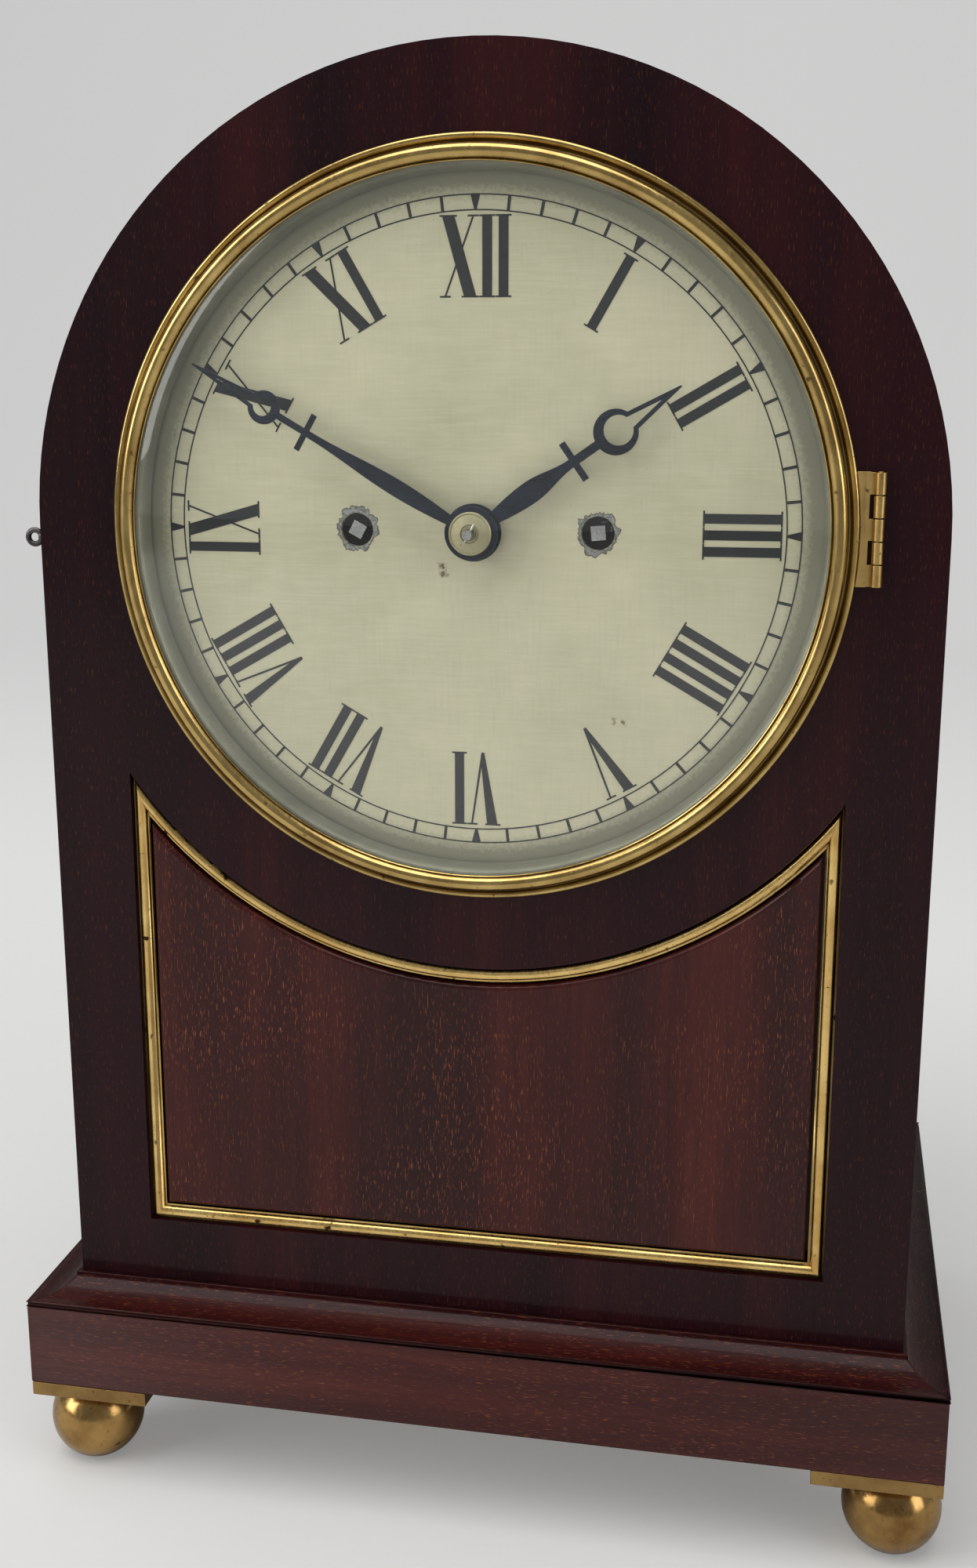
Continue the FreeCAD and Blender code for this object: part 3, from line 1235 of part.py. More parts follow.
cock_low = bend_z + 5.2
cock_top = dial_z + plate_top_rise
slit = 0.15
cock = box(-cock_half_width, cock_half_width, plate_back_y, pendulum_y + 5, cock_low, cock_top)
save("back_cock", [cock.cut(box(-3.2, 3.2, pendulum_y - slit, pendulum_y + slit, cock_low - 1, cock_top - 2))])
save("suspension_spring", [box(-3, 3, pendulum_y - 0.1, pendulum_y + 0.1, rod_top + 0.3, cock_top - 3)])

hammer_z = dial_z + hammer_arbor_rise
head_z = dial_z + hammer_head_rise
hammer_y0 = plate_back_y + hammer_behind_plate
hammer_y1 = hammer_y0 + hammer_arm_thick
hammer_head_y0 = hammer_y0 - hammer_head_overhang
arm_length = math.hypot(hammer_head_x - hammer_arbor_x, head_z - hammer_z)
arm_turn = math.degrees(math.atan2(hammer_head_x - hammer_arbor_x, head_z - hammer_z))
arm_half = hammer_arm_width / 2
hammer_arm = box(hammer_arbor_x - arm_half, hammer_arbor_x + arm_half, hammer_y0, hammer_y1, hammer_z,
                 hammer_z + arm_length)
hammer_arm.rotate(V(hammer_arbor_x, 0, hammer_z), V(0, 1, 0), arm_turn)
hammer = joined([hammer_arm, rod(hammer_arbor_x, hammer_z, hammer_hub_radius, plate_back_y + 0.4, hammer_y1),
                 rod(hammer_head_x, head_z, hammer_head_radius, hammer_head_y0,
                     hammer_head_y0 + hammer_head_length)])
save("hammer", [hammer.cut(rod(hammer_arbor_x, hammer_z, hammer_stud_radius + running_clearance,
                               plate_back_y - 1, hammer_y1 + 1))])

# ---- rear door ------------------------------------------------------------------------------
door_half = inner_half - door_gap
door_bottom = case_bottom + door_gap
door_blank = arch(door_half, door_bottom, door_front_y, back_y)
light_half = door_half - door_stile
light_bottom = door_bottom + door_stile
door_frame = door_blank.cut(arch(light_half, light_bottom, door_front_y - 1, back_y + 1))
glass_y0 = back_y - door_glass_from_back
glass_half = light_half + door_rebate
glass_bottom = light_bottom - door_rebate
door_frame = door_frame.cut(arch(glass_half, glass_bottom, door_front_y - 1, glass_y0 + door_glass_thick))
spindle_bore = latch_spindle_radius + running_clearance
door_frame = door_frame.cut(rod(latch_x, latch_z, spindle_bore, door_front_y - 1, back_y + 1))
save("door_frame", [door_frame])
save("door_glass", [arch(glass_half - door_glass_clearance, glass_bottom + door_glass_clearance, glass_y0,
                         glass_y0 + door_glass_thick)])

knob_y0 = back_y + latch_clearance
knob_neck_y = knob_y0 + latch_neck_length
knob_end_y = knob_y0 + latch_knob_reach
knob_mid = (latch_knob_radius, (knob_neck_y + knob_end_y) / 2)
spindle_y0 = tongue_front_y + latch_tongue_thick / 2
latch = turned(latch_x, latch_z, (0.0, spindle_y0), [
    (latch_spindle_radius, spindle_y0), (latch_spindle_radius, knob_y0), (latch_neck_radius * 1.6, knob_y0),
    (latch_neck_radius, knob_neck_y), (knob_mid, (latch_neck_radius, knob_end_y)), (0.0, knob_end_y)])
tongue = box(latch_x - latch_tongue_width / 2, latch_x + latch_tongue_width / 2, tongue_front_y, tongue_back_y,
             latch_z - latch_tongue_width / 2, latch_z + latch_tongue_length)
save("door_latch", [joined([latch, tongue])])

door_axis_x = -inner_half
door_axis_y = back_y + door_hinge_leaf_thick + 0.5
door_pitch = door_hinge_height / 3
case_hinges = []
door_hinges = []
for rise in (door_hinge_rise_low, door_hinge_rise_high):
    low = case_bottom + rise
    hole = door_hinge_pin_radius + pin_clearance
    knuckles = [knuckle(index, door_axis_x, door_axis_y, door_hinge_radius, hole, low, door_pitch)
                for index in range(3)]
    leaf_y0 = back_y
    leaf_y1 = back_y + door_hinge_leaf_thick
    clear = door_hinge_leaf_clear
    reach = door_hinge_leaf_width
    case_plate = box(door_axis_x - reach, door_axis_x - clear, leaf_y0, leaf_y1, low, low + door_hinge_height)
    door_plate = box(door_axis_x + clear, door_axis_x + reach, leaf_y0, leaf_y1, low, low + door_hinge_height)
    pieces = [case_plate]
    for index in (0, 2):
        z0 = low + index * door_pitch + hinge_knuckle_gap / 2
        pieces.append(knuckles[index])
        z1 = z0 + door_pitch - hinge_knuckle_gap
        pieces.append(box(door_axis_x - clear, door_axis_x, leaf_y0 + 0.2, leaf_y1, z0, z1))
    pin_room = Part.makeCylinder(hole, door_hinge_height + 2, V(door_axis_x, door_axis_y, low - 1))
    case_hinges.append(joined(pieces).cut(pin_room))
    pin_foot = V(door_axis_x, door_axis_y, low)
    case_hinges.append(Part.makeCylinder(door_hinge_pin_radius, door_hinge_height, pin_foot))
    z0 = low + door_pitch + hinge_knuckle_gap / 2
    z1 = z0 + door_pitch - hinge_knuckle_gap
    link = box(door_axis_x, door_axis_x + clear, leaf_y0 + 0.2, leaf_y1, z0, z1)
    door_hinges.append(joined([door_plate, knuckles[1], link]).cut(pin_room))
save("case_door_hinges", case_hinges)
save("door_hinge_leaves", door_hinges)
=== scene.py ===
import math
import random
import bmesh
import bpy
from mathutils import Matrix, Vector


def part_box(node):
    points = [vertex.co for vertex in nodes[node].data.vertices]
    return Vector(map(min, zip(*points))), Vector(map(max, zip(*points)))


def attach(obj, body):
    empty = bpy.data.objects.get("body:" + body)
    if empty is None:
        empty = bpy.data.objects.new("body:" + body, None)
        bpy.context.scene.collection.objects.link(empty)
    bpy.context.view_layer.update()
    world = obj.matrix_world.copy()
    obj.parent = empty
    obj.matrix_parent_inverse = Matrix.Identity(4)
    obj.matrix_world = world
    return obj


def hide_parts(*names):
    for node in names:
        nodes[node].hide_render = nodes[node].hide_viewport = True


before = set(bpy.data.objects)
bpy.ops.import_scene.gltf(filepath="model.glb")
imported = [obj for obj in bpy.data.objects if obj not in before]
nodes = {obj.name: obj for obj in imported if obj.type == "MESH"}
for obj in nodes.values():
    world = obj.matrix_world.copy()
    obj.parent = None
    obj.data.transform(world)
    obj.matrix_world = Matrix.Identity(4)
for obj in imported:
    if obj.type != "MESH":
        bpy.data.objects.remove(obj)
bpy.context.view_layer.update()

# ---- plinth frame ---------------------------------------------------------------------------
# Four boards of solid mahogany, mitred at the corners and glued to the base board. The grain runs
# along each board, and the whole case is stained dark red and French polished to a deep gloss.
MM = 0.001


def new_material(name):
    """Empty node material: its tree and its Principled shader."""
    material = bpy.data.materials.new(name)
    material.use_nodes = True
    return material, material.node_tree, material.node_tree.nodes["Principled BSDF"]


def node(tree, kind, values=None, **settings):
    """Node with its settings, and its sockets linked or set from values."""
    made = tree.nodes.new(kind)
    for name, value in settings.items():
        setattr(made, name, value)
    for name, value in (values or {}).items():
        if isinstance(value, bpy.types.NodeSocket):
            tree.links.new(value, made.inputs[name])
        else:
            made.inputs[name].default_value = value
    return made


def stretched(tree, scale=(1.0, 1.0, 1.0), offset=(0, 0, 0)):
    """Object coordinates scaled along each axis: a small factor draws the pattern out that way."""
    place = node(tree, "ShaderNodeTexCoord").outputs["Object"]
    settings = {"Vector": place, "Scale": scale, "Location": offset}
    return node(tree, "ShaderNodeMapping", settings).outputs[0]


def noise(tree, vector, scale, detail=3.0, rough=0.5):
    """Cloudy pattern from 0 to 1; a larger scale makes it finer."""
    settings = {"Vector": vector, "Scale": scale, "Detail": detail, "Roughness": rough}
    return node(tree, "ShaderNodeTexNoise", settings).outputs["Fac"]


def ramp(tree, value, stops):
    """Colour ramp from (position, colour) stops."""
    made = node(tree, "ShaderNodeValToRGB", {"Fac": value})
    band = made.color_ramp
    while len(band.elements) < len(stops):
        band.elements.new(0.5)
    for element, (position, colour) in zip(band.elements, stops):
        element.position = position
        element.color = (*colour, 1.0)
    return made.outputs["Color"]


def level(tree, value, low, high, out_low=0.0, out_high=1.0):
    """Value spread from low..high to out_low..out_high, and held there beyond."""
    made = node(tree, "ShaderNodeMapRange", {"Value": value, "From Min": low, "From Max": high,
                                             "To Min": out_low, "To Max": out_high})
    return made.outputs["Result"]


def mixed(tree, share, first, second):
    """Colour between first, where share is 0, and second, where it is 1."""
    made = node(tree, "ShaderNodeMix", data_type="RGBA")
    for socket, value in ((made.inputs[0], share), (made.inputs[6], first), (made.inputs[7], second)):
        if isinstance(value, bpy.types.NodeSocket):
            tree.links.new(value, socket)
        elif isinstance(value, tuple):
            socket.default_value = (*value, 1.0)
        else:
            socket.default_value = value
    return made.outputs[2]


def maths(tree, operation, first, second):
    """Sum, product or the like of two values."""
    return node(tree, "ShaderNodeMath", {0: first, 1: second}, operation=operation).outputs[0]


def roughened(tree, shader, pattern, low, high):
    """Roughness that follows a pattern between two values."""
    tree.links.new(level(tree, pattern, 0.3, 0.7, low, high), shader.inputs["Roughness"])


def bumped(tree, shader, height, strength, distance=0.1 * MM):
    """Fine relief that follows a pattern."""
    made = node(tree, "ShaderNodeBump", {"Height": height, "Strength": strength, "Distance": distance})
    tree.links.new(made.outputs["Normal"], shader.inputs["Normal"])


ALONG = {"x": (0.05, 1.0, 1.0), "y": (1.0, 0.05, 1.0), "z": (1.0, 1.0, 0.05)}
PORES = {"x": (0.11, 1.0, 1.0), "y": (1.0, 0.11, 1.0), "z": (1.0, 1.0, 0.11)}
PORE_LIGHT = (0.27, 0.078, 0.020)
QUIRK_SHADE = (0.003, 0.0008, 0.001)


def mahogany(name, along, tones, fleck=0.5, offset=(0, 0, 0), gloss=0.32, quirk=None):
    """Polished mahogany: broad figure, fine streaks, short filled pores that catch the light.

    Its grain runs along an axis, and tones are its deep, middle and warm colours. Fleck is how much the
    pores show, and where quirk is given, corners narrower than that are darkened with painted shade.
    """
    material, tree, shader = new_material(name)
    deep, body, warm = tones
    grain = stretched(tree, ALONG[along], offset)
    figure = noise(tree, grain, 38.0, 4.0, 0.55)
    streak = noise(tree, grain, 620.0, 5.0, 0.7)
    pores = noise(tree, stretched(tree, PORES[along], offset), 3200.0, 2.0, 0.6)
    patches = noise(tree, stretched(tree, offset=offset), 14.0, 2.0)
    colour = ramp(tree, figure, [(0.34, deep), (0.52, body), (0.68, warm)])
    colour = mixed(tree, level(tree, streak, 0.35, 0.7, 0.0, 0.55), colour, deep)
    shown = level(tree, patches, 0.36, 0.62, 0.2, fleck)
    lit = maths(tree, "MULTIPLY", level(tree, pores, 0.60, 0.70), shown)
    colour = mixed(tree, lit, colour, PORE_LIGHT)
    if quirk:
        # Narrow corners found by ambient occlusion are darkened towards near black: painted shade.
        corner = node(tree, "ShaderNodeAmbientOcclusion", {"Distance": quirk}, samples=8).outputs["AO"]
        colour = mixed(tree, level(tree, corner, 0.4, 0.85, 0.95, 0.0), colour, QUIRK_SHADE)
    tree.links.new(colour, shader.inputs["Base Color"])
    roughened(tree, shader, streak, 0.34, 0.5)
    tree.links.new(level(tree, patches, 0.3, 0.7, 0.05, 0.12), shader.inputs["Coat Roughness"])
    shader.inputs["Specular IOR Level"].default_value = 0.1
    shader.inputs["Coat Weight"].default_value = gloss
    shader.inputs["Coat IOR"].default_value = 1.5
    bumped(tree, shader, maths(tree, "ADD", streak, pores), 0.12)
    return material


def placed(name, mesh):
    """Object that shows a mesh, put in the scene."""
    piece = bpy.data.objects.new(name, mesh)
    bpy.context.scene.collection.objects.link(piece)
    return piece


def meshed(name, shape, *materials):
    """Mesh made from a finished shape, with its materials."""
    mesh = bpy.data.meshes.new(name)
    shape.to_mesh(mesh)
    shape.free()
    for material in materials:
        mesh.materials.append(material)
    return mesh


SAME_POINT = 0.01 * MM
FLAT_ANGLE = math.radians(0.6)
EDGE_ANGLE = 32.0


def softened(name, radius, material, body="case", angle=EDGE_ANGLE, sides=None):
    """Copy of a CAD piece, flat faces merged and edges rounded to a radius.

    Only edges sharper than angle, in degrees, are rounded. Sides is the finish of side lengths.
    """
    shape = bmesh.new()
    shape.from_mesh(nodes[name].data)
    bmesh.ops.remove_doubles(shape, verts=shape.verts, dist=SAME_POINT)
    bmesh.ops.dissolve_limit(shape, angle_limit=FLAT_ANGLE, verts=shape.verts, edges=shape.edges)
    far_x = max(abs(vertex.co.x) for vertex in shape.verts)
    far_y = max(abs(vertex.co.y) for vertex in shape.verts)
    for face in shape.faces:
        face.smooth = True
        middle = face.calc_center_median()
        if sides and abs(middle.x) - far_x > abs(middle.y) - far_y:
            face.material_index = 1
    finishes = [material, sides] if sides else [material]
    piece = placed("soft_" + name, meshed("soft_" + name, shape, *finishes))
    bevel = piece.modifiers.new("edges", "BEVEL")
    bevel.width = radius
    bevel.segments = 3
    bevel.limit_method = "ANGLE"
    bevel.angle_limit = math.radians(angle)
    piece.modifiers.new("flat_faces", "WEIGHTED_NORMAL")
    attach(piece, body)
    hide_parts(name)
    return piece


PLINTH_TONES = ((0.020, 0.0034, 0.0032), (0.052, 0.0082, 0.0066), (0.095, 0.0165, 0.0100))
plinth_wood = mahogany("plinth_mahogany", "x", PLINTH_TONES, fleck=0.6)
plinth_side_wood = mahogany("plinth_side_mahogany", "y", PLINTH_TONES, fleck=0.6)
softened("plinth_frame", 0.5 * MM, plinth_wood, sides=plinth_side_wood)

# ---- plinth moulding ------------------------------------------------------------------------
# A run of moulded mahogany laid on the plinth frame and mitred at the corners. Its cove leads the
# eye from the plinth up to the case, and its quirks are darkened with painted shade.
MOULDING_TONES = ((0.010, 0.0017, 0.0022), (0.027, 0.0038, 0.0042), (0.055, 0.0085, 0.0065))
MOULDING_GLOSS = 0.14
# Reach of the painted shade in the moulding's quirks.
QUIRK = 3.5 * MM
moulding_wood = mahogany("moulding_mahogany", "x", MOULDING_TONES, gloss=MOULDING_GLOSS, quirk=QUIRK)
moulding_side_wood = mahogany("moulding_side_mahogany", "y", MOULDING_TONES, gloss=MOULDING_GLOSS,
                              quirk=QUIRK)
softened("plinth_moulding", 0.25 * MM, moulding_wood, sides=moulding_side_wood)

# ---- front board ----------------------------------------------------------------------------
# One wide board with the arch sawn from it, a round opening for the dial and the sunk panel cut
# below. It is the darkest part of the case, nearly black plum round the arch.
FRONT_TONES = ((0.0080, 0.0010, 0.0026), (0.0175, 0.0020, 0.0040), (0.0330, 0.0045, 0.0052))
front_wood = mahogany("front_mahogany", "z", FRONT_TONES, fleck=0.22, gloss=0.17)
softened("front_board", 0.6 * MM, front_wood)

# ---- sides and arch top ---------------------------------------------------------------------
# Two straight side boards of mahogany stand on the plinth, and a thin board bent to the arch joins
# them over the top. All three are glued behind the front board, and are a little lighter than it.
SIDE_TONES = ((0.012, 0.0022, 0.0036), (0.030, 0.0052, 0.0066), (0.056, 0.0105, 0.0090))
side_wood = mahogany("side_mahogany", "z", SIDE_TONES, fleck=0.4, offset=(0.3, 0, 0))
arch_wood = mahogany("arch_mahogany", "y", SIDE_TONES, fleck=0.35)
for side_board in ("side_left", "side_right"):
    softened(side_board, 0.5 * MM, side_wood)
softened("arch_top", 0.5 * MM, arch_wood)

# ---- front panel ----------------------------------------------------------------------------
# A separate raised panel of the best figured mahogany, its edges rounded over, glued to the floor
# of the recess with a narrow dark gap round it. It is the reddest part of the case.
PANEL_TONES = ((0.014, 0.0020, 0.0024), (0.040, 0.0050, 0.0044), (0.074, 0.0118, 0.0074))
panel_wood = mahogany("panel_mahogany", "z", PANEL_TONES, fleck=1.0, offset=(0.13, 0, 0))
softened("front_panel", 0.3 * MM, panel_wood)

# ---- panel moulding -------------------------------------------------------------------------
# Half-round brass strip between two fillets, mitred and pinned round the recess. The lacquer has
# gone in places, and its quirks and mitres are darkened with painted shade that also stands for wax and
# dirt.
# Dark brown for dirt specks and blots, and for the painted shade in corners.
GRIME_AND_SHADE = (0.045, 0.022, 0.008)
SMALL_EDGE_ANGLE = 40.0


def brass(name, light, deep, age, rough=(0.16, 0.34), corners=4.0 * MM, relief=0.1):
    """Worn yellow brass: soft cloudy tone, dark specks, fine scratches, and painted shade, standing also for
    grime, in the corners.

    Age is how dark the specks and the corner shade are, and corners is the width of the corners that get
    painted shade.
    """
    material, tree, shader = new_material(name)
    place = stretched(tree)
    cloud = noise(tree, place, 60.0, 4.0, 0.6)
    speck = noise(tree, place, 720.0, 3.0, 0.65)
    spots = noise(tree, place, 210.0, 2.0, 0.5)
    rub = noise(tree, stretched(tree, (1.0, 1.0, 0.08)), 900.0, 2.0)
    colour = mixed(tree, level(tree, cloud, 0.35, 0.68), light, deep)
    dirt = level(tree, speck, 0.64, 0.74, 0.0, age)
    blot = level(tree, spots, 0.68, 0.74, 0.0, age)
    # Corners found by ambient occlusion are darkened: painted shade, standing also for grime.
    corner = node(tree, "ShaderNodeAmbientOcclusion", {"Distance": corners}, samples=4).outputs["AO"]
    corner_shade = level(tree, corner, 0.25, 0.8, age, 0.0)
    share = maths(tree, "MAXIMUM", maths(tree, "MAXIMUM", dirt, blot), corner_shade)
    colour = mixed(tree, share, colour, GRIME_AND_SHADE)
    tree.links.new(colour, shader.inputs["Base Color"])
    shader.inputs["Metallic"].default_value = 1.0
    rubbed = level(tree, rub, 0.3, 0.7, *rough)
    dulled = level(tree, share, 0.0, 1.0, 0.0, 0.3)
    tree.links.new(maths(tree, "ADD", rubbed, dulled), shader.inputs["Roughness"])
    bumped(tree, shader, maths(tree, "ADD", cloud, rub), relief)
    return material


strip_brass = brass("moulding_brass", (0.84, 0.59, 0.22), (0.54, 0.32, 0.10), age=1.0, corners=5.0 * MM)
softened("panel_moulding", 0.12 * MM, strip_brass, angle=SMALL_EDGE_ANGLE)

# ---- base board, seat board and glue blocks -------------------------------------------------
# Plain oak hidden inside the case, sawn and planed but never polished. Four blocks take the studs
# of the feet, and two more, glued to the sides, hold the seat board that carries the movement.
OAK_TONES = [(0.3, (0.20, 0.12, 0.06)), (0.5, (0.33, 0.22, 0.12)), (0.7, (0.44, 0.31, 0.18))]
OAK_FIBRE = (0.13, 0.075, 0.035)


def plain_oak(name, along):
    """Bare oak with its growth rings and open fibres drawn out along the grain."""
    material, tree, shader = new_material(name)
    grain = stretched(tree, ALONG[along])
    rings = noise(tree, grain, 55.0, 5.0, 0.6)
    fibre = noise(tree, grain, 900.0, 4.0, 0.7)
    colour = ramp(tree, rings, OAK_TONES)
    colour = mixed(tree, level(tree, fibre, 0.5, 0.72, 0.0, 0.5), colour, OAK_FIBRE)
    tree.links.new(colour, shader.inputs["Base Color"])
    roughened(tree, shader, fibre, 0.55, 0.8)
    bumped(tree, shader, fibre, 0.3, 0.2 * MM)
    return material


oak_across = plain_oak("oak_across", "x")
oak_upright = plain_oak("oak_upright", "z")
for hidden_board in ("base_board", "seat_board"):
    softened(hidden_board, 0.4 * MM, oak_across)
softened("glue_blocks", 0.4 * MM, oak_upright)

# ---- ball feet and foot plates --------------------------------------------------------------
# Solid brass balls turned with a short neck and a flat to stand on, screwed through square brass
# plates into the plinth. The brass is browner than the bezel and worn bright where it is handled.
TURNED_EDGE = math.radians(38)
ON_AXIS = 0.001 * MM


def lathe(name, profile, centre, axis, segments, material, body):
    """Turned piece: the profile of (radius, place up z or out towards -y) is spun about its axis."""
    shape = bmesh.new()
    rings = []
    for radius, place in profile:
        if radius < ON_AXIS:
            rings.append([shape.verts.new((0.0, 0.0, place))])
            continue
        ring = []
        for step in range(segments):
            angle = 2 * math.pi * step / segments
            ring.append(shape.verts.new((radius * math.cos(angle), radius * math.sin(angle), place)))
        rings.append(ring)
    for low, high in zip(rings, rings[1:] + rings[:1]):
        if len(low) == 1 and len(high) == 1:
            continue
        for step in range(segments):
            after = (step + 1) % segments
            below = [low[step % len(low)], low[after % len(low)]]
            above = [high[after % len(high)], high[step % len(high)]]
            shape.faces.new(list(dict.fromkeys(below + above)))
    bmesh.ops.recalc_face_normals(shape, faces=shape.faces)
    turn = Matrix.Identity(3) if axis == "z" else Matrix(((1, 0, 0), (0, 0, -1), (0, 1, 0)))
    for vertex in shape.verts:
        vertex.co = turn @ vertex.co + Vector(centre)
    for face in shape.faces:
        face.smooth = True
    mesh = meshed(name, shape, material)
    mesh.set_sharp_from_angle(angle=TURNED_EDGE)
    piece = placed(name, mesh)
    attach(piece, body)
    return piece


def curve(start, mid, end, steps):
    """Points of the circle's arc from start through mid to end, without the start."""
    ax, ay = start
    bx, by = mid
    cx, cy = end
    double = 2 * (ax * (by - cy) + bx * (cy - ay) + cx * (ay - by))
    a2, b2, c2 = ax * ax + ay * ay, bx * bx + by * by, cx * cx + cy * cy
    ox = (a2 * (by - cy) + b2 * (cy - ay) + c2 * (ay - by)) / double
    oy = (a2 * (cx - bx) + b2 * (ax - cx) + c2 * (bx - ax)) / double
    radius = math.hypot(ax - ox, ay - oy)
    first = math.atan2(ay - oy, ax - ox)
    turn = (math.atan2(cy - oy, cx - ox) - first) % (2 * math.pi)
    halfway = (math.atan2(by - oy, bx - ox) - first) % (2 * math.pi)
    if halfway > turn:
        turn -= 2 * math.pi
    angles = [first + turn * k / steps for k in range(1, steps + 1)]
    return [(ox + radius * math.cos(angle), oy + radius * math.sin(angle)) for angle in angles]


foot_brass = brass("foot_brass", (0.46, 0.285, 0.10), (0.20, 0.105, 0.035), age=0.85, rough=(0.13, 0.28))
plate_brass = brass("plate_brass", (0.36, 0.23, 0.085), (0.24, 0.14, 0.05), age=0.8, rough=(0.25, 0.45))
feet_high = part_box("ball_feet")[1]
plate_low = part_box("foot_plates")[0][2]
BALL_RADIUS = 14.5 * MM
BALL_FLAT = 5.0 * MM
NECK = 6.0 * MM
COLLAR = NECK + 1.6 * MM
COLLAR_CHAMFER = 0.3 * MM
FOOT_OUT = 5.5 * MM
ball_centre = math.sqrt(BALL_RADIUS ** 2 - BALL_FLAT ** 2)
ball_top = ball_centre + math.sqrt(BALL_RADIUS ** 2 - NECK ** 2)
foot_profile = [(0.0, 0.0), (BALL_FLAT, 0.0)]
foot_profile += curve((BALL_FLAT, 0.0), (BALL_RADIUS, ball_centre), (NECK, ball_top), 40)
foot_profile += [(NECK, ball_top + COLLAR_CHAMFER), (COLLAR, ball_top + 2 * COLLAR_CHAMFER),
                 (COLLAR, plate_low - 0.2 * MM), (COLLAR - COLLAR_CHAMFER, plate_low), (0.0, plate_low)]
foot_x = feet_high[0] - BALL_RADIUS + FOOT_OUT
foot_y = feet_high[1] - BALL_RADIUS
for side in (-1, 1):
    for end in (-1, 1):
        foot_at = (side * foot_x, end * foot_y, 0.0)
        foot_name = f"ball_foot_{side + 1}_{end + 1}"
        foot = lathe(foot_name, foot_profile, foot_at, "z", 96, foot_brass, "case")
        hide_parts("ball_feet")
softened("foot_plates", 0.35 * MM, plate_brass)

# ---- dial plate -----------------------------------------------------------------------------
# A brass plate silvered by hand and lacquered, now a warm grey-green. Fine brush strokes cross it,
# the silvering is stained here and there, and it has chipped round both winding holes.
dial_low, dial_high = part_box("dial_plate")
DIAL_Z = (dial_low[2] + dial_high[2]) / 2
DIAL_FACE = dial_low[1]
WINDING_X = 33.3 * MM
WINDING_HOLE = 4.5 * MM
TRACK_EDGE = 87.5 * MM
RAGGED = 0.9 * MM


def near(tree, x, z, inner, outer):
    """1 near the dial point (x, z) from its centre, falling to 0, with a ragged edge."""
    spot = (x, DIAL_FACE, DIAL_Z + z)
    place = node(tree, "ShaderNodeTexCoord").outputs["Object"]
    wobble = noise(tree, place, 900.0, 3.0, 0.6)
    away = node(tree, "ShaderNodeVectorMath", {0: place, 1: spot}, operation="DISTANCE").outputs["Value"]
    ragged = maths(tree, "ADD", away, level(tree, wobble, 0.3, 0.7, -RAGGED, RAGGED))
    return level(tree, ragged, inner, outer, 1.0, 0.0)


SILVER_TONES = [(0.3, (0.50, 0.472, 0.31)), (0.5, (0.58, 0.545, 0.37)), (0.7, (0.66, 0.61, 0.425))]
# Lighter brush streaks: the strokes are real, their brightness is a painted sheen.
BRUSH_SHEEN = (0.80, 0.76, 0.60)
BRUSH_DARK = (0.40, 0.40, 0.29)
DUST = (0.20, 0.17, 0.10)
STAIN = (0.12, 0.075, 0.03)
SHADED_MARGIN = (0.15, 0.145, 0.10)
# Near black painted in the bore of each winding hole: painted shade.
HOLE_SHADE = (0.02, 0.018, 0.015)
STAINS = [(-9.5 * MM, -9.5 * MM, 0.2 * MM, 1.3 * MM), (-9.0 * MM, -11.5 * MM, 0.2 * MM, 1.4 * MM),
          (38.5 * MM, -51.0 * MM, 0.1 * MM, 1.0 * MM), (41.0 * MM, -51.5 * MM, 0.1 * MM, 0.9 * MM)]


def silvering():
    """Hand-silvered plate: cloudy, brushed both ways with a painted sheen on the strokes, stained, and with
    painted shade outside the minute track and in the winding holes.
    """
    material, tree, shader = new_material("silvered_dial")
    clouds = noise(tree, stretched(tree), 16.0, 4.0, 0.6)
    brushed = noise(tree, stretched(tree, (0.06, 1.0, 1.0)), 1500.0, 3.0, 0.6)
    crossed = noise(tree, stretched(tree, (1.0, 1.0, 0.07), (0.2, 0, 0)), 1300.0, 3.0, 0.6)
    dust = noise(tree, stretched(tree), 1100.0, 2.0, 0.5)
    colour = ramp(tree, clouds, SILVER_TONES)
    colour = mixed(tree, level(tree, brushed, 0.4, 0.75, 0.0, 0.22), colour, BRUSH_SHEEN)
    colour = mixed(tree, level(tree, crossed, 0.45, 0.75, 0.0, 0.18), colour, BRUSH_DARK)
    colour = mixed(tree, level(tree, dust, 0.72, 0.78, 0.0, 0.5), colour, DUST)
    for x, z, inner, outer in STAINS:
        colour = mixed(tree, near(tree, x, z, inner, outer), colour, STAIN)
    # Outside the minute track the plate is darkened: painted shade from the bezel.
    within_margin = near(tree, 0.0, 0.0, TRACK_EDGE - 2.0 * MM, TRACK_EDGE + 2.5 * MM)
    colour = mixed(tree, level(tree, within_margin, 0.0, 1.0, 0.8, 0.0), colour, SHADED_MARGIN)
    # The bore of each winding hole is painted near black: painted shade.
    for side in (-1, 1):
        bore = near(tree, side * WINDING_X, 0.0, WINDING_HOLE - 0.5 * MM, WINDING_HOLE + 0.9 * MM)
        colour = mixed(tree, bore, colour, HOLE_SHADE)
    tree.links.new(colour, shader.inputs["Base Color"])
    roughened(tree, shader, brushed, 0.36, 0.5)
    shader.inputs["Metallic"].default_value = 0.35
    bumped(tree, shader, maths(tree, "ADD", brushed, crossed), 0.06)
    return material


dial_silver = silvering()
softened("dial_plate", 0.15 * MM, dial_silver)


def grained(name, scale, tones, rough, metallic=0.0):
    """Finely grained finish whose colour, roughness and relief follow one pattern."""
    material, tree, shader = new_material(name)
    grain = noise(tree, stretched(tree), scale, 3.0, 0.6)
    tree.links.new(ramp(tree, grain, tones), shader.inputs["Base Color"])
    roughened(tree, shader, grain, *rough)
    shader.inputs["Metallic"].default_value = metallic
    bumped(tree, shader, grain, 0.2)
    return material


CHIP_POINTS = 72
CHIP_STEP = 0.8
HOLE_GAP = 0.16 * MM


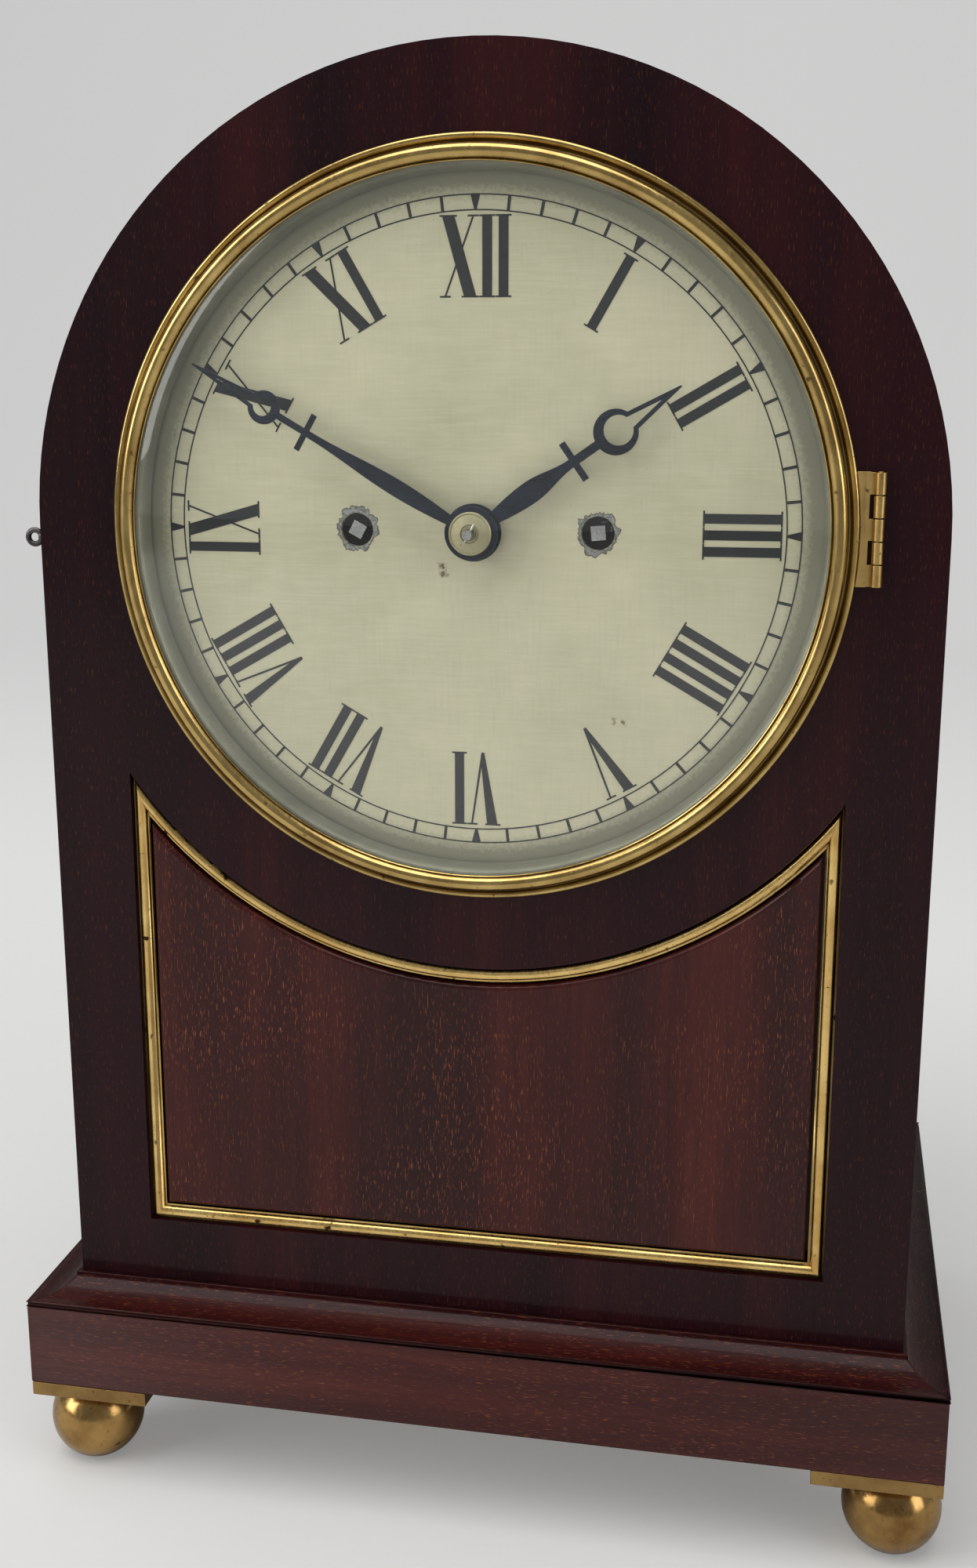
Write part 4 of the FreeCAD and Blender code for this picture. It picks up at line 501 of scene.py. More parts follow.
def chip_ring(name, side, near_edge, far_edge, proud, seed, material):
    """Ragged ring of bare metal round a winding hole, a hair above the silvering."""
    dice = random.Random(seed)
    shape = bmesh.new()
    inner_ring, outer_ring = [], []
    reach = (near_edge + far_edge) / 2
    for step in range(CHIP_POINTS):
        angle = 2 * math.pi * step / CHIP_POINTS
        reach = min(far_edge, max(near_edge, reach + dice.uniform(-CHIP_STEP, CHIP_STEP) * MM))
        x, z = math.cos(angle), math.sin(angle)
        for ring, radius in ((inner_ring, WINDING_HOLE + HOLE_GAP), (outer_ring, reach)):
            place = (side * WINDING_X + radius * x, DIAL_FACE - proud, DIAL_Z + radius * z)
            ring.append(shape.verts.new(place))
    for step in range(CHIP_POINTS):
        after = (step + 1) % CHIP_POINTS
        shape.faces.new((inner_ring[step], outer_ring[step], outer_ring[after], inner_ring[after]))
    bmesh.ops.recalc_face_normals(shape, faces=shape.faces)
    chip = placed(name, meshed(name, shape, material))
    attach(chip, "case")


BARE_TONES = [(0.35, (0.13, 0.13, 0.12)), (0.6, (0.34, 0.34, 0.33))]
DIRT_TONES = [(0.35, (0.05, 0.045, 0.035)), (0.65, (0.16, 0.14, 0.10))]
flaked = grained("flaked_silvering", 1400.0, BARE_TONES, (0.3, 0.5), metallic=0.8)
broken = grained("chip_edge", 1500.0, DIRT_TONES, (0.5, 0.7))
CHIP_SEED = 11
for side in (-1, 1):
    seed = CHIP_SEED + side
    chip_ring(f"chip_dirt_{side + 1}", side, 5.25 * MM, 6.75 * MM, 0.02 * MM, seed, broken)
    chip_ring(f"chip_bare_{side + 1}", side, 4.9 * MM, 6.4 * MM, 0.04 * MM, seed, flaked)

# ---- numerals and minute track --------------------------------------------------------------
# Cut into the silvered plate with a graver and filled with hard black wax, then rubbed flush. The
# wax has worn thin and grey in places.
WAX_TONES = [(0.35, (0.005, 0.006, 0.0068)), (0.62, (0.0105, 0.0125, 0.0135)), (0.76, (0.07, 0.073, 0.066))]


def wax():
    """Hard black wax, matt, and grey where it is thin."""
    material, tree, shader = new_material("worn_wax")
    wear = noise(tree, stretched(tree), 240.0, 5.0, 0.7)
    fine = noise(tree, stretched(tree), 1600.0, 3.0, 0.6)
    tree.links.new(ramp(tree, wear, WAX_TONES), shader.inputs["Base Color"])
    roughened(tree, shader, fine, 0.5, 0.75)
    shader.inputs["Specular IOR Level"].default_value = 0.2
    bumped(tree, shader, fine, 0.15)
    return material


def dressed(name, material):
    """The CAD piece as it is, with a finish of its own."""
    nodes[name].data.materials.clear()
    nodes[name].data.materials.append(material)


black_wax = wax()
for inlay in ("dial_numerals", "minute_track"):
    dressed(inlay, black_wax)

# ---- bezel ----------------------------------------------------------------------------------
# Cast brass ring, turned with an outer bead, a quirk and a bold half-round, and lacquered. A skirt
# behind it fits the opening, and the ring swings on a five-knuckle hinge at the right.
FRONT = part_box("front_board")[0][1]
BEZEL_OUTER = 102.0 * MM
BEZEL_LIP = 94.5 * MM
SKIRT_IN = 96.5 * MM
SKIRT_OUT = 97.6 * MM
LIP_BACK = 4.8 * MM
SKIRT_DEEP = -3.5 * MM
BEAD = 2.0 * MM
BEAD_FOOT = 1.3 * MM
RISER_MIDDLE = (98.95 * MM, 2.2 * MM)
RISER_TOP = (98.9 * MM, 3.9 * MM)
ROUND_TOP = (96.9 * MM, 6.45 * MM)
ROUND_END = (BEZEL_LIP + 0.7 * MM, 5.3 * MM)
bezel_brass = brass("bezel_brass", (0.62, 0.44, 0.16), (0.35, 0.225, 0.075), age=0.8, rough=(0.12, 0.26))


def bezel_profile():
    """Section of the ring as (radius, height proud of the case front)."""
    bead_top = (BEZEL_OUTER - BEAD / 2, BEAD_FOOT + BEAD / 2)
    points = [(BEZEL_OUTER, 0.0), (BEZEL_OUTER, BEAD_FOOT)]
    points += curve(points[-1], bead_top, (BEZEL_OUTER - BEAD, BEAD_FOOT), 10)
    points += [(BEZEL_OUTER - 2.4 * MM, 1.05 * MM), (BEZEL_OUTER - 2.8 * MM, 1.2 * MM)]
    points += curve(points[-1], RISER_MIDDLE, RISER_TOP, 6)
    points += curve(points[-1], ROUND_TOP, ROUND_END, 18)
    points += [(BEZEL_LIP + 0.5 * MM, 5.0 * MM), (BEZEL_LIP + 0.2 * MM, 5.35 * MM), (BEZEL_LIP, 5.2 * MM)]
    points += [(BEZEL_LIP, LIP_BACK), (SKIRT_IN, LIP_BACK), (SKIRT_IN, SKIRT_DEEP)]
    points += [(SKIRT_OUT, SKIRT_DEEP), (SKIRT_OUT, 0.0)]
    return points


dial_centre = (0.0, FRONT, DIAL_Z)
bezel = lathe("turned_bezel", bezel_profile(), dial_centre, "y", 360, bezel_brass, "bezel")
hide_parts("bezel_ring")
softened("bezel_lug", 0.1 * MM, bezel_brass, "bezel")

# ---- bezel glass and sight ring -------------------------------------------------------------
# A thin convex glass with a ground bevel, held in the back of the bezel by a spun sight ring that
# is silvered like the dial and hides the dial's edge.
GLASS_RADIUS = 96.3 * MM
GLASS_EDGE = 4.4 * MM
GLASS_THICK = 2.0 * MM
GLASS_SPHERE = 590.0 * MM
BEVEL_WIDE = 1.1 * MM
BEVEL_DEEP = 0.45 * MM
GLASS_RINGS = 24


def bulge(radius):
    """How far the glass stands out at this radius, beyond its edge."""
    edge_drop = GLASS_SPHERE - math.sqrt(GLASS_SPHERE ** 2 - GLASS_RADIUS ** 2)
    return edge_drop - (GLASS_SPHERE - math.sqrt(GLASS_SPHERE ** 2 - radius ** 2))


def either(tree, share, first, second, output):
    """Sends the first shader to the output where share is 0, and the second where it is 1."""
    both = node(tree, "ShaderNodeMixShader", {"Fac": share, 1: first.outputs[0], 2: second.outputs[0]})
    tree.links.new(both.outputs[0], tree.nodes[output].inputs["Surface"])


def clear_glass(name, tint):
    """Old glass: clear to light and shadow rays, glossy, with a faint waviness."""
    material, tree, shader = new_material(name)
    waves = noise(tree, stretched(tree), 26.0, 1.0)
    smear = noise(tree, stretched(tree), 70.0, 3.0)
    shader.inputs["Transmission Weight"].default_value = 1.0
    shader.inputs["IOR"].default_value = 1.5
    tree.links.new(level(tree, smear, 0.45, 0.75, 0.0, 0.03), shader.inputs["Roughness"])
    tree.links.new(mixed(tree, smear, tint, (1.0, 1.0, 1.0)), shader.inputs["Base Color"])
    bumped(tree, shader, waves, 0.02, 1.0 * MM)
    clear = node(tree, "ShaderNodeBsdfTransparent", {"Color": (0.97, 0.98, 0.97, 1.0)})
    rays = node(tree, "ShaderNodeLightPath")
    through = maths(tree, "MAXIMUM", rays.outputs["Is Shadow Ray"], rays.outputs["Is Diffuse Ray"])
    either(tree, through, shader, clear, "Material Output")
    return material


def bulged(reach, place):
    """Points of the bulge from the middle out to a radius, set off by a place."""
    radii = [reach * k / GLASS_RINGS for k in range(GLASS_RINGS + 1)]
    return [(radius, place + bulge(radius)) for radius in radii]


dial_glass = clear_glass("dial_glass", (0.96, 0.98, 0.95))
glass_profile = bulged(GLASS_RADIUS - BEVEL_WIDE, GLASS_EDGE)
glass_profile += [(GLASS_RADIUS, GLASS_EDGE - BEVEL_DEEP)]
glass_profile += reversed(bulged(GLASS_RADIUS, GLASS_EDGE - GLASS_THICK))
pane = lathe("convex_glass", glass_profile, dial_centre, "y", 240, dial_glass, "bezel")
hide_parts("bezel_glass")


# Greys much darker than the dial's silvering: painted shade of the bezel.
SIGHT_SHADE_TONES = [(0.3, (0.17, 0.17, 0.13)), (0.55, (0.25, 0.245, 0.19)), (0.75, (0.32, 0.31, 0.25))]
SIGHT_SPECK = (0.14, 0.12, 0.09)


def shade_painted_silver():
    """Silvered brass painted grey and dark as painted shade under the bezel, with fine dark specks."""
    material, tree, shader = new_material("sight_silver")
    cloud = noise(tree, stretched(tree), 40.0, 4.0, 0.6)
    grain = noise(tree, stretched(tree), 1500.0, 3.0, 0.6)
    colour = ramp(tree, cloud, SIGHT_SHADE_TONES)
    colour = mixed(tree, level(tree, grain, 0.62, 0.75, 0.0, 0.6), colour, SIGHT_SPECK)
    tree.links.new(colour, shader.inputs["Base Color"])
    roughened(tree, shader, grain, 0.3, 0.48)
    shader.inputs["Metallic"].default_value = 0.6
    bumped(tree, shader, grain, 0.08)
    return material


SIGHT_IN = 92.6 * MM
SIGHT_WALL = 0.8 * MM
flange = GLASS_EDGE - GLASS_THICK - 0.2 * MM
sight_profile = [(GLASS_RADIUS, flange), (GLASS_RADIUS, flange - SIGHT_WALL),
                 (SIGHT_IN + 2.2 * MM, flange - SIGHT_WALL),
                 (SIGHT_IN + 1.3 * MM, flange - SIGHT_WALL - 0.7 * MM), (SIGHT_IN + SIGHT_WALL, -3.3 * MM),
                 (SIGHT_IN + 0.6 * MM, -3.4 * MM), (SIGHT_IN + 0.2 * MM, -3.4 * MM), (SIGHT_IN, -3.2 * MM),
                 (SIGHT_IN + 0.6 * MM, flange - 1.4 * MM), (SIGHT_IN + 1.2 * MM, flange - 0.2 * MM),
                 (SIGHT_IN + 1.5 * MM, flange)]
sight = lathe("spun_sight_ring", sight_profile, dial_centre, "y", 240, shade_painted_silver(),
              "bezel")
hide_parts("sight_ring")

# ---- bezel hinge and catch ------------------------------------------------------------------
# Brass hinge of five knuckles on a pin: one leaf is fixed to the front board, the other soldered to
# the bezel. A steel pull wire with an eye comes out at the left edge and frees the bezel.
hinge_brass = brass("hinge_brass", (0.66, 0.44, 0.16), (0.42, 0.26, 0.085), age=0.9, rough=(0.2, 0.4),
                    corners=2.0 * MM)
softened("bezel_hinge_leaf", 0.12 * MM, hinge_brass, "bezel", SMALL_EDGE_ANGLE)
softened("case_hinge_leaf", 0.12 * MM, hinge_brass, "case", SMALL_EDGE_ANGLE)
RUST = (0.11, 0.06, 0.03)


def steel(name, light, deep, rough):
    """Worked steel: fine draw marks, a cloudy oiled tone and small rust-brown freckles."""
    material, tree, shader = new_material(name)
    cloud = noise(tree, stretched(tree), 90.0, 4.0, 0.6)
    marks = noise(tree, stretched(tree, (0.1, 1.0, 1.0)), 1600.0, 3.0, 0.6)
    freckle = noise(tree, stretched(tree), 800.0, 2.0, 0.5)
    colour = mixed(tree, level(tree, cloud, 0.35, 0.65), light, deep)
    colour = mixed(tree, level(tree, freckle, 0.70, 0.76, 0.0, 0.6), colour, RUST)
    tree.links.new(colour, shader.inputs["Base Color"])
    shader.inputs["Metallic"].default_value = 1.0
    roughened(tree, shader, marks, *rough)
    bumped(tree, shader, marks, 0.08)
    return material


dark_wire = steel("dark_wire", (0.16, 0.15, 0.15), (0.07, 0.065, 0.065), (0.3, 0.5))
softened("bezel_catch", 0.1 * MM, dark_wire, "catch", SMALL_EDGE_ANGLE)

# ---- hands ----------------------------------------------------------------------------------
# Cut from steel sheet, pierced and filed with bevelled edges, then blued. The hour hand sits on the
# hour pipe, and the minute hand in front of it on the square of its arbor.
blued_steel = steel("blued_steel", (0.020, 0.030, 0.050), (0.008, 0.012, 0.020), (0.22, 0.4))


def arc_points(u, radius, start, end, steps):
    """Points (across, along) of a circle's arc, angles in degrees from the hand's tip direction."""
    turns = [math.radians(start + (end - start) * k / steps) for k in range(steps + 1)]
    return [(radius * math.sin(angle), u + radius * math.cos(angle)) for angle in turns]


# Shares of the leaf, the ring and the spear, the same in both hands.
LEAF_ROOT = 0.62
HOLE_OFFSET = 0.14
SPEAR_OPENING = 0.7
SPEAR_ROOT = 26.0
KEYHOLE_GAP = 23.0
TIP_HALF = 0.25 * MM
SHEET_HALF = 0.4 * MM
FILED_EDGE = 0.15 * MM
ONE_POINT = 0.005 * MM


def hand_half(boss, leaf_at, leaf, bar_at, bar, bar_thick, neck, ring_at, ring, tip):
    """Right half of a hand's outline, from the boss round to the tip, as (across, along)."""
    root = math.asin(LEAF_ROOT * leaf / boss)
    half = arc_points(0.0, boss, 180, math.degrees(root), 28)
    root_out, root_at = half[-1]
    for k in range(1, 9):
        share = k / 8
        swell = math.sin(share * math.pi / 2)
        half.append((root_out + (leaf - root_out) * swell, root_at + (leaf_at - root_at) * share))
    bar_low = bar_at - bar_thick
    for k in range(1, 13):
        share = k / 12
        taper = (1 + math.cos(share * math.pi)) / 2
        half.append((neck + (leaf - neck) * taper, leaf_at + (bar_low - leaf_at) * share))
    half += [(bar, bar_low), (bar, bar_at + bar_thick), (neck, bar_at + bar_thick)]
    half += arc_points(ring_at, ring, 180 - math.degrees(math.asin(neck / ring)), SPEAR_ROOT, 30)
    return half + [(TIP_HALF, tip - TIP_HALF), (0.0, tip)]


def filed_sheet(name, lines):
    """Flat sheet inside closed lines, the first its rim and the others openings, with filed edges."""
    flat = bpy.data.curves.new(name, "CURVE")
    flat.dimensions = "2D"
    flat.fill_mode = "BOTH"
    flat.extrude = SHEET_HALF - FILED_EDGE
    flat.bevel_depth = FILED_EDGE
    flat.bevel_resolution = 1
    flat.offset = -FILED_EDGE
    for line in lines:
        spline = flat.splines.new("POLY")
        spline.points.add(len(line) - 1)
        for point, (across, along) in zip(spline.points, line):
            point.co = (across, along, 0.0, 1.0)
        spline.use_cyclic_u = True
    drawn = placed(name, flat)
    bpy.context.view_layer.update()
    mesh = bpy.data.meshes.new_from_object(drawn.evaluated_get(bpy.context.evaluated_depsgraph_get()))
    bpy.data.objects.remove(drawn)
    return mesh


def hand(name, body, turn, back, sizes):
    """One hand: leaf blade, cross bar, crescent ring that opens into a long spear, filed edges."""
    size = {part: value * MM for part, value in sizes.items()}
    bore, hole = size.pop("bore"), size.pop("hole")
    half = hand_half(**size)
    rim = half + [(-across, along) for across, along in reversed(half[1:-1])]
    ring_at, ring, tip = size["ring_at"], size["ring"], size["tip"]
    keyhole = arc_points(ring_at + HOLE_OFFSET * ring, hole, KEYHOLE_GAP, 360 - KEYHOLE_GAP, 48)
    keyhole.append((0.0, ring_at + (tip - ring_at) * SPEAR_OPENING))
    bore_ring = arc_points(0.0, bore, 0, 360 - 360 / 48, 47)
    mesh = filed_sheet(name, (rim, keyhole, bore_ring))
    swing = math.radians(turn)
    for vertex in mesh.vertices:
        across, along, depth = vertex.co
        vertex.co = (across * math.cos(swing) + along * math.sin(swing), back - SHEET_HALF + depth,
                     DIAL_Z + along * math.cos(swing) - across * math.sin(swing))
    shape = bmesh.new()
    shape.from_mesh(mesh)
    bpy.data.meshes.remove(mesh)
    bmesh.ops.remove_doubles(shape, verts=shape.verts, dist=ONE_POINT)
    bmesh.ops.recalc_face_normals(shape, faces=shape.faces)
    piece = placed("filed_" + name, meshed(name, shape, blued_steel))
    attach(piece, body)
    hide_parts(name)


# Sizes in mm, along each hand from its arbor to its tip, and half widths across it.
hour_sizes = {"boss": 7.75, "bore": 4.2, "leaf_at": 19.0, "leaf": 3.0, "bar_at": 33.2, "bar": 5.8,
              "bar_thick": 0.9, "neck": 1.2, "ring_at": 46.6, "ring": 6.0, "hole": 3.95, "tip": 67.3}
minute_sizes = {"boss": 7.25, "bore": 2.9, "leaf_at": 23.0, "leaf": 2.3, "bar_at": 52.5, "bar": 5.3,
                "bar_thick": 0.8, "neck": 0.9, "ring_at": 65.7, "ring": 4.5, "hole": 2.6, "tip": 88.7}
HOUR_BACK = DIAL_FACE - 3.5 * MM
MINUTE_BACK = DIAL_FACE - 6.2 * MM
HOUR_TURN = 55.0
MINUTE_TURN = -60.0
hand("hour_hand", "hour_pipe", HOUR_TURN, HOUR_BACK, hour_sizes)
hand("minute_hand", "minute_arbor", MINUTE_TURN, MINUTE_BACK, minute_sizes)

# ---- hand collet and taper pin --------------------------------------------------------------
# Domed brass collet, turned with a step and a groove round its hole, that presses on the minute
# hand. A steel pin, filed to a taper, goes through the arbor in front of it and holds both down.
collet_brass = brass("collet_brass", (0.46, 0.43, 0.28), (0.36, 0.32, 0.19), age=0.5, rough=(0.38, 0.52),
                     corners=0.8 * MM)
pin_steel = steel("pin_steel", (0.62, 0.61, 0.56), (0.40, 0.40, 0.37), (0.25, 0.4))
COLLET_BACK = 7.2 * MM
COLLET_HIGH = 2.4 * MM
# Radius and height of each step of the section, in mm.
COLLET_STEPS = [(2.75, 0.0), (5.5, 0.0), (5.8, 0.3), (5.8, 1.3), (5.6, 1.5), (5.3, 1.5), (5.15, 1.3),
                (3.2, 1.75), (2.5, 1.85), (2.3, 1.5), (1.8, 1.5), (1.6, 2.0), (1.4, 2.0), (1.33, 1.8),
                (1.33, 0.0)]
collet_profile = [(radius * MM, COLLET_BACK + proud * MM) for radius, proud in COLLET_STEPS]
dial_middle = (0.0, DIAL_FACE, DIAL_Z)
collet = lathe("turned_collet", collet_profile, dial_middle, "y", 96, collet_brass, "minute_arbor")
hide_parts("hand_collet")
PIN_PROFILE = [(0.0, -3.0 * MM), (0.16 * MM, -2.95 * MM), (0.2 * MM, -2.8 * MM), (0.34 * MM, 2.8 * MM),
               (0.28 * MM, 3.0 * MM), (0.0, 3.05 * MM)]
PIN_TURN = math.radians(28.0)
pin = lathe("taper_pin", PIN_PROFILE, (0.0, 0.0, 0.0), "z", 20, pin_steel, "minute_arbor")
pin_at = Vector((0.0, DIAL_FACE - COLLET_BACK - COLLET_HIGH - 0.2 * MM, DIAL_Z))
pin.data.transform(Matrix.Translation(pin_at) @ Matrix.Rotation(PIN_TURN, 4, "Y"))
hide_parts("hand_collet")

# ---- rear door ------------------------------------------------------------------------------
# An arched mahogany frame rebated for a flat glass, on two brass butt hinges, with a small turned
# brass knob whose tongue catches behind the case side. It is plainer and browner than the front.
DOOR_TONES = ((0.016, 0.005, 0.004), (0.042, 0.012, 0.008), (0.080, 0.024, 0.013))
door_wood = mahogany("door_mahogany", "z", DOOR_TONES, fleck=0.3, offset=(0.7, 0, 0))
softened("door_frame", 0.5 * MM, door_wood, "door")
flat_glass = clear_glass("flat_glass", (0.95, 0.98, 0.95))
softened("door_glass", 0.3 * MM, flat_glass, "door")
softened("door_hinge_leaves", 0.12 * MM, hinge_brass, "door", SMALL_EDGE_ANGLE)
softened("case_door_hinges", 0.12 * MM, hinge_brass, "case", SMALL_EDGE_ANGLE)
softened("door_latch", 0.15 * MM, hinge_brass, "latch", SMALL_EDGE_ANGLE)

# ---- movement plates ------------------------------------------------------------------------
# Two thick plates of cast brass, grained and lacquered, held apart by turned pillars, with a cock
# for the pendulum and a stand for the bell. The front plate gets a much darker copy: painted shade of the
# dial.
movement_brass = brass("movement_brass", (0.74, 0.53, 0.20), (0.60, 0.40, 0.14), age=0.4, rough=(0.28, 0.34),
                       corners=3.0 * MM, relief=0.015)
# Much darker copy of the plate brass: painted shade behind the dial.
front_plate_shade = brass("front_plate_shade_brass", (0.10, 0.07, 0.032), (0.05, 0.034, 0.016), age=0.6, rough=(0.4, 0.6),
                  corners=3.0 * MM)
for plate_name in ("back_plate", "back_cock", "plate_pillars", "bell_stand"):
    softened(plate_name, 0.25 * MM, movement_brass)
softened("front_plate", 0.25 * MM, front_plate_shade)

# ---- bell and hammer ------------------------------------------------------------------------
# The bell is turned from bell metal, paler than brass, and fixed on its stand. The hammer is a round
# steel head on a flat steel arm, which turns on a stud behind the back plate.
bell_metal = brass("bell_metal", (0.72, 0.58, 0.38), (0.55, 0.40, 0.22), age=0.4, rough=(0.14, 0.28),
                   corners=3.0 * MM)
bright_steel = steel("bright_steel", (0.55, 0.55, 0.54), (0.34, 0.34, 0.34), (0.22, 0.4))
softened("bell", 0.3 * MM, bell_metal)
softened("hammer", 0.15 * MM, bright_steel, "hammer", SMALL_EDGE_ANGLE)

# ---- wheels, fusees and barrels -------------------------------------------------------------
# Two trains of cut brass wheels, turned fusees and spring barrels between the plates. Their arbors
# are polished steel, and the fusees' end in the winding squares that show through the dial.
WHEEL_LIGHT = (0.84, 0.62, 0.25)
WHEEL_DEEP = (0.68, 0.46, 0.16)
ARBOR_LIGHT = (0.50, 0.50, 0.49)
ARBOR_DEEP = (0.30, 0.30, 0.30)


def with_steel(name, front):
    """Yellow brass wheel work on a steel arbor: all that lies in front of a depth is steel."""
    material, tree, shader = new_material(name)
    cloud = noise(tree, stretched(tree), 90.0, 4.0, 0.6)
    marks = noise(tree, stretched(tree, (1.0, 0.1, 1.0)), 1500.0, 3.0, 0.6)
    place = node(tree, "ShaderNodeTexCoord").outputs["Object"]
    depth = node(tree, "ShaderNodeSeparateXYZ", {"Vector": place}).outputs["Y"]
    steel_here = level(tree, depth, front - 0.1 * MM, front + 0.1 * MM, 1.0, 0.0)
    cloudy = level(tree, cloud, 0.35, 0.68)
    yellow = mixed(tree, cloudy, WHEEL_LIGHT, WHEEL_DEEP)
    grey = mixed(tree, cloudy, ARBOR_LIGHT, ARBOR_DEEP)
    tree.links.new(mixed(tree, steel_here, yellow, grey), shader.inputs["Base Color"])
    shader.inputs["Metallic"].default_value = 1.0
    roughened(tree, shader, marks, 0.18, 0.36)
    bumped(tree, shader, marks, 0.08)
    return material


FUSEE_FRONT = -50.0 * MM
CENTRE_WHEEL_FRONT = -20.0 * MM
fusee_metal = with_steel("fusee_and_square", FUSEE_FRONT)
wheel_brass = brass("wheel_brass", WHEEL_LIGHT, WHEEL_DEEP, age=0.4, rough=(0.16, 0.3), corners=2.0 * MM)
yellow = ("cannon_pinion", "hour_wheel", "minute_wheel", "third_wheel", "escape_wheel", "pin_wheel",
          "pallet_wheel", "warning_wheel", "fly", "going_barrel", "strike_barrel", "dial_feet")
for fusee_name in ("going_fusee", "strike_fusee"):
    dressed(fusee_name, fusee_metal)
for brass_name in yellow:
    dressed(brass_name, wheel_brass)
for steel_name in ("barrel_arbors", "pallets", "suspension_spring"):
    dressed(steel_name, bright_steel)
dressed("centre_wheel", with_steel("centre_wheel_and_arbor", CENTRE_WHEEL_FRONT))

# ---- pendulum -------------------------------------------------------------------------------
# A steel rod hangs from the spring and carries a turned brass bob, which rests on a brass nut.
# Turning the nut raises or lowers the bob and sets the rate.
softened("pendulum_bob", 0.3 * MM, movement_brass, "pendulum")
softened("rating_nut", 0.15 * MM, movement_brass, "pendulum")
softened("pendulum_rod", 0.1 * MM, bright_steel, "pendulum", SMALL_EDGE_ANGLE)

# ---- gut lines ------------------------------------------------------------------------------
# Twisted gut, dried and oiled to a warm brown, runs from each barrel to its fusee and is wound in
# the fusee's groove.
GUT_TONES = [(0.3, (0.22, 0.13, 0.05)), (0.7, (0.48, 0.33, 0.16))]


def twisted_gut():
    """Gut whose strands lie close together, brown between them."""
    material, tree, shader = new_material("twisted_gut")
    strands = noise(tree, stretched(tree), 1800.0, 3.0, 0.6)
    tree.links.new(ramp(tree, strands, GUT_TONES), shader.inputs["Base Color"])
    roughened(tree, shader, strands, 0.35, 0.55)
    bumped(tree, shader, strands, 0.3, 0.2 * MM)
    return material


dressed("gut_lines", twisted_gut())

# ---- studio ---------------------------------------------------------------------------------
# A pale paper sweep, a floor that curves up into a backdrop far behind the clock, with one soft lamp
# overhead, one at the left like a window and a weaker one at the right.
PAPER_DARK = (0.66, 0.655, 0.64)
PAPER_MIDDLE = (0.70, 0.695, 0.68)
PAPER_LIGHT = (0.74, 0.735, 0.72)
PAPER_GLOW = (0.95, 0.95, 0.945, 1.0)
GLOW_FROM = -0.15
GLOW_TO = 0.55


def seen_directly(tree):
    """1 for rays from the camera, also through glass, and 0 for all others."""
    rays = node(tree, "ShaderNodeLightPath")
    return maths(tree, "MAXIMUM", rays.outputs["Is Camera Ray"], rays.outputs["Is Transmission Ray"])


def paper():
    """Pale matt paper, seen a little lighter than its shading, the more so behind the clock."""
    material, tree, shader = new_material("pale_paper")
    fibre = noise(tree, stretched(tree), 160.0, 4.0, 0.6)
    broad = noise(tree, stretched(tree), 1.2, 2.0)
    colour = mixed(tree, fibre, PAPER_DARK, PAPER_MIDDLE)
    colour = mixed(tree, level(tree, broad, 0.3, 0.7, 0.0, 0.3), colour, PAPER_LIGHT)
    tree.links.new(colour, shader.inputs["Base Color"])
    shader.inputs["Roughness"].default_value = 0.85
    bumped(tree, shader, fibre, 0.02, 0.5 * MM)
    place = node(tree, "ShaderNodeTexCoord").outputs["Object"]
    depth = node(tree, "ShaderNodeSeparateXYZ", {"Vector": place}).outputs["Y"]
    far_off = level(tree, depth, GLOW_FROM, GLOW_TO, 0.16, 0.40)
    white = node(tree, "ShaderNodeEmission", {"Color": PAPER_GLOW, "Strength": 1.0})
    share = maths(tree, "MULTIPLY", seen_directly(tree), far_off)
    either(tree, share, shader, white, "Material Output")
    return material


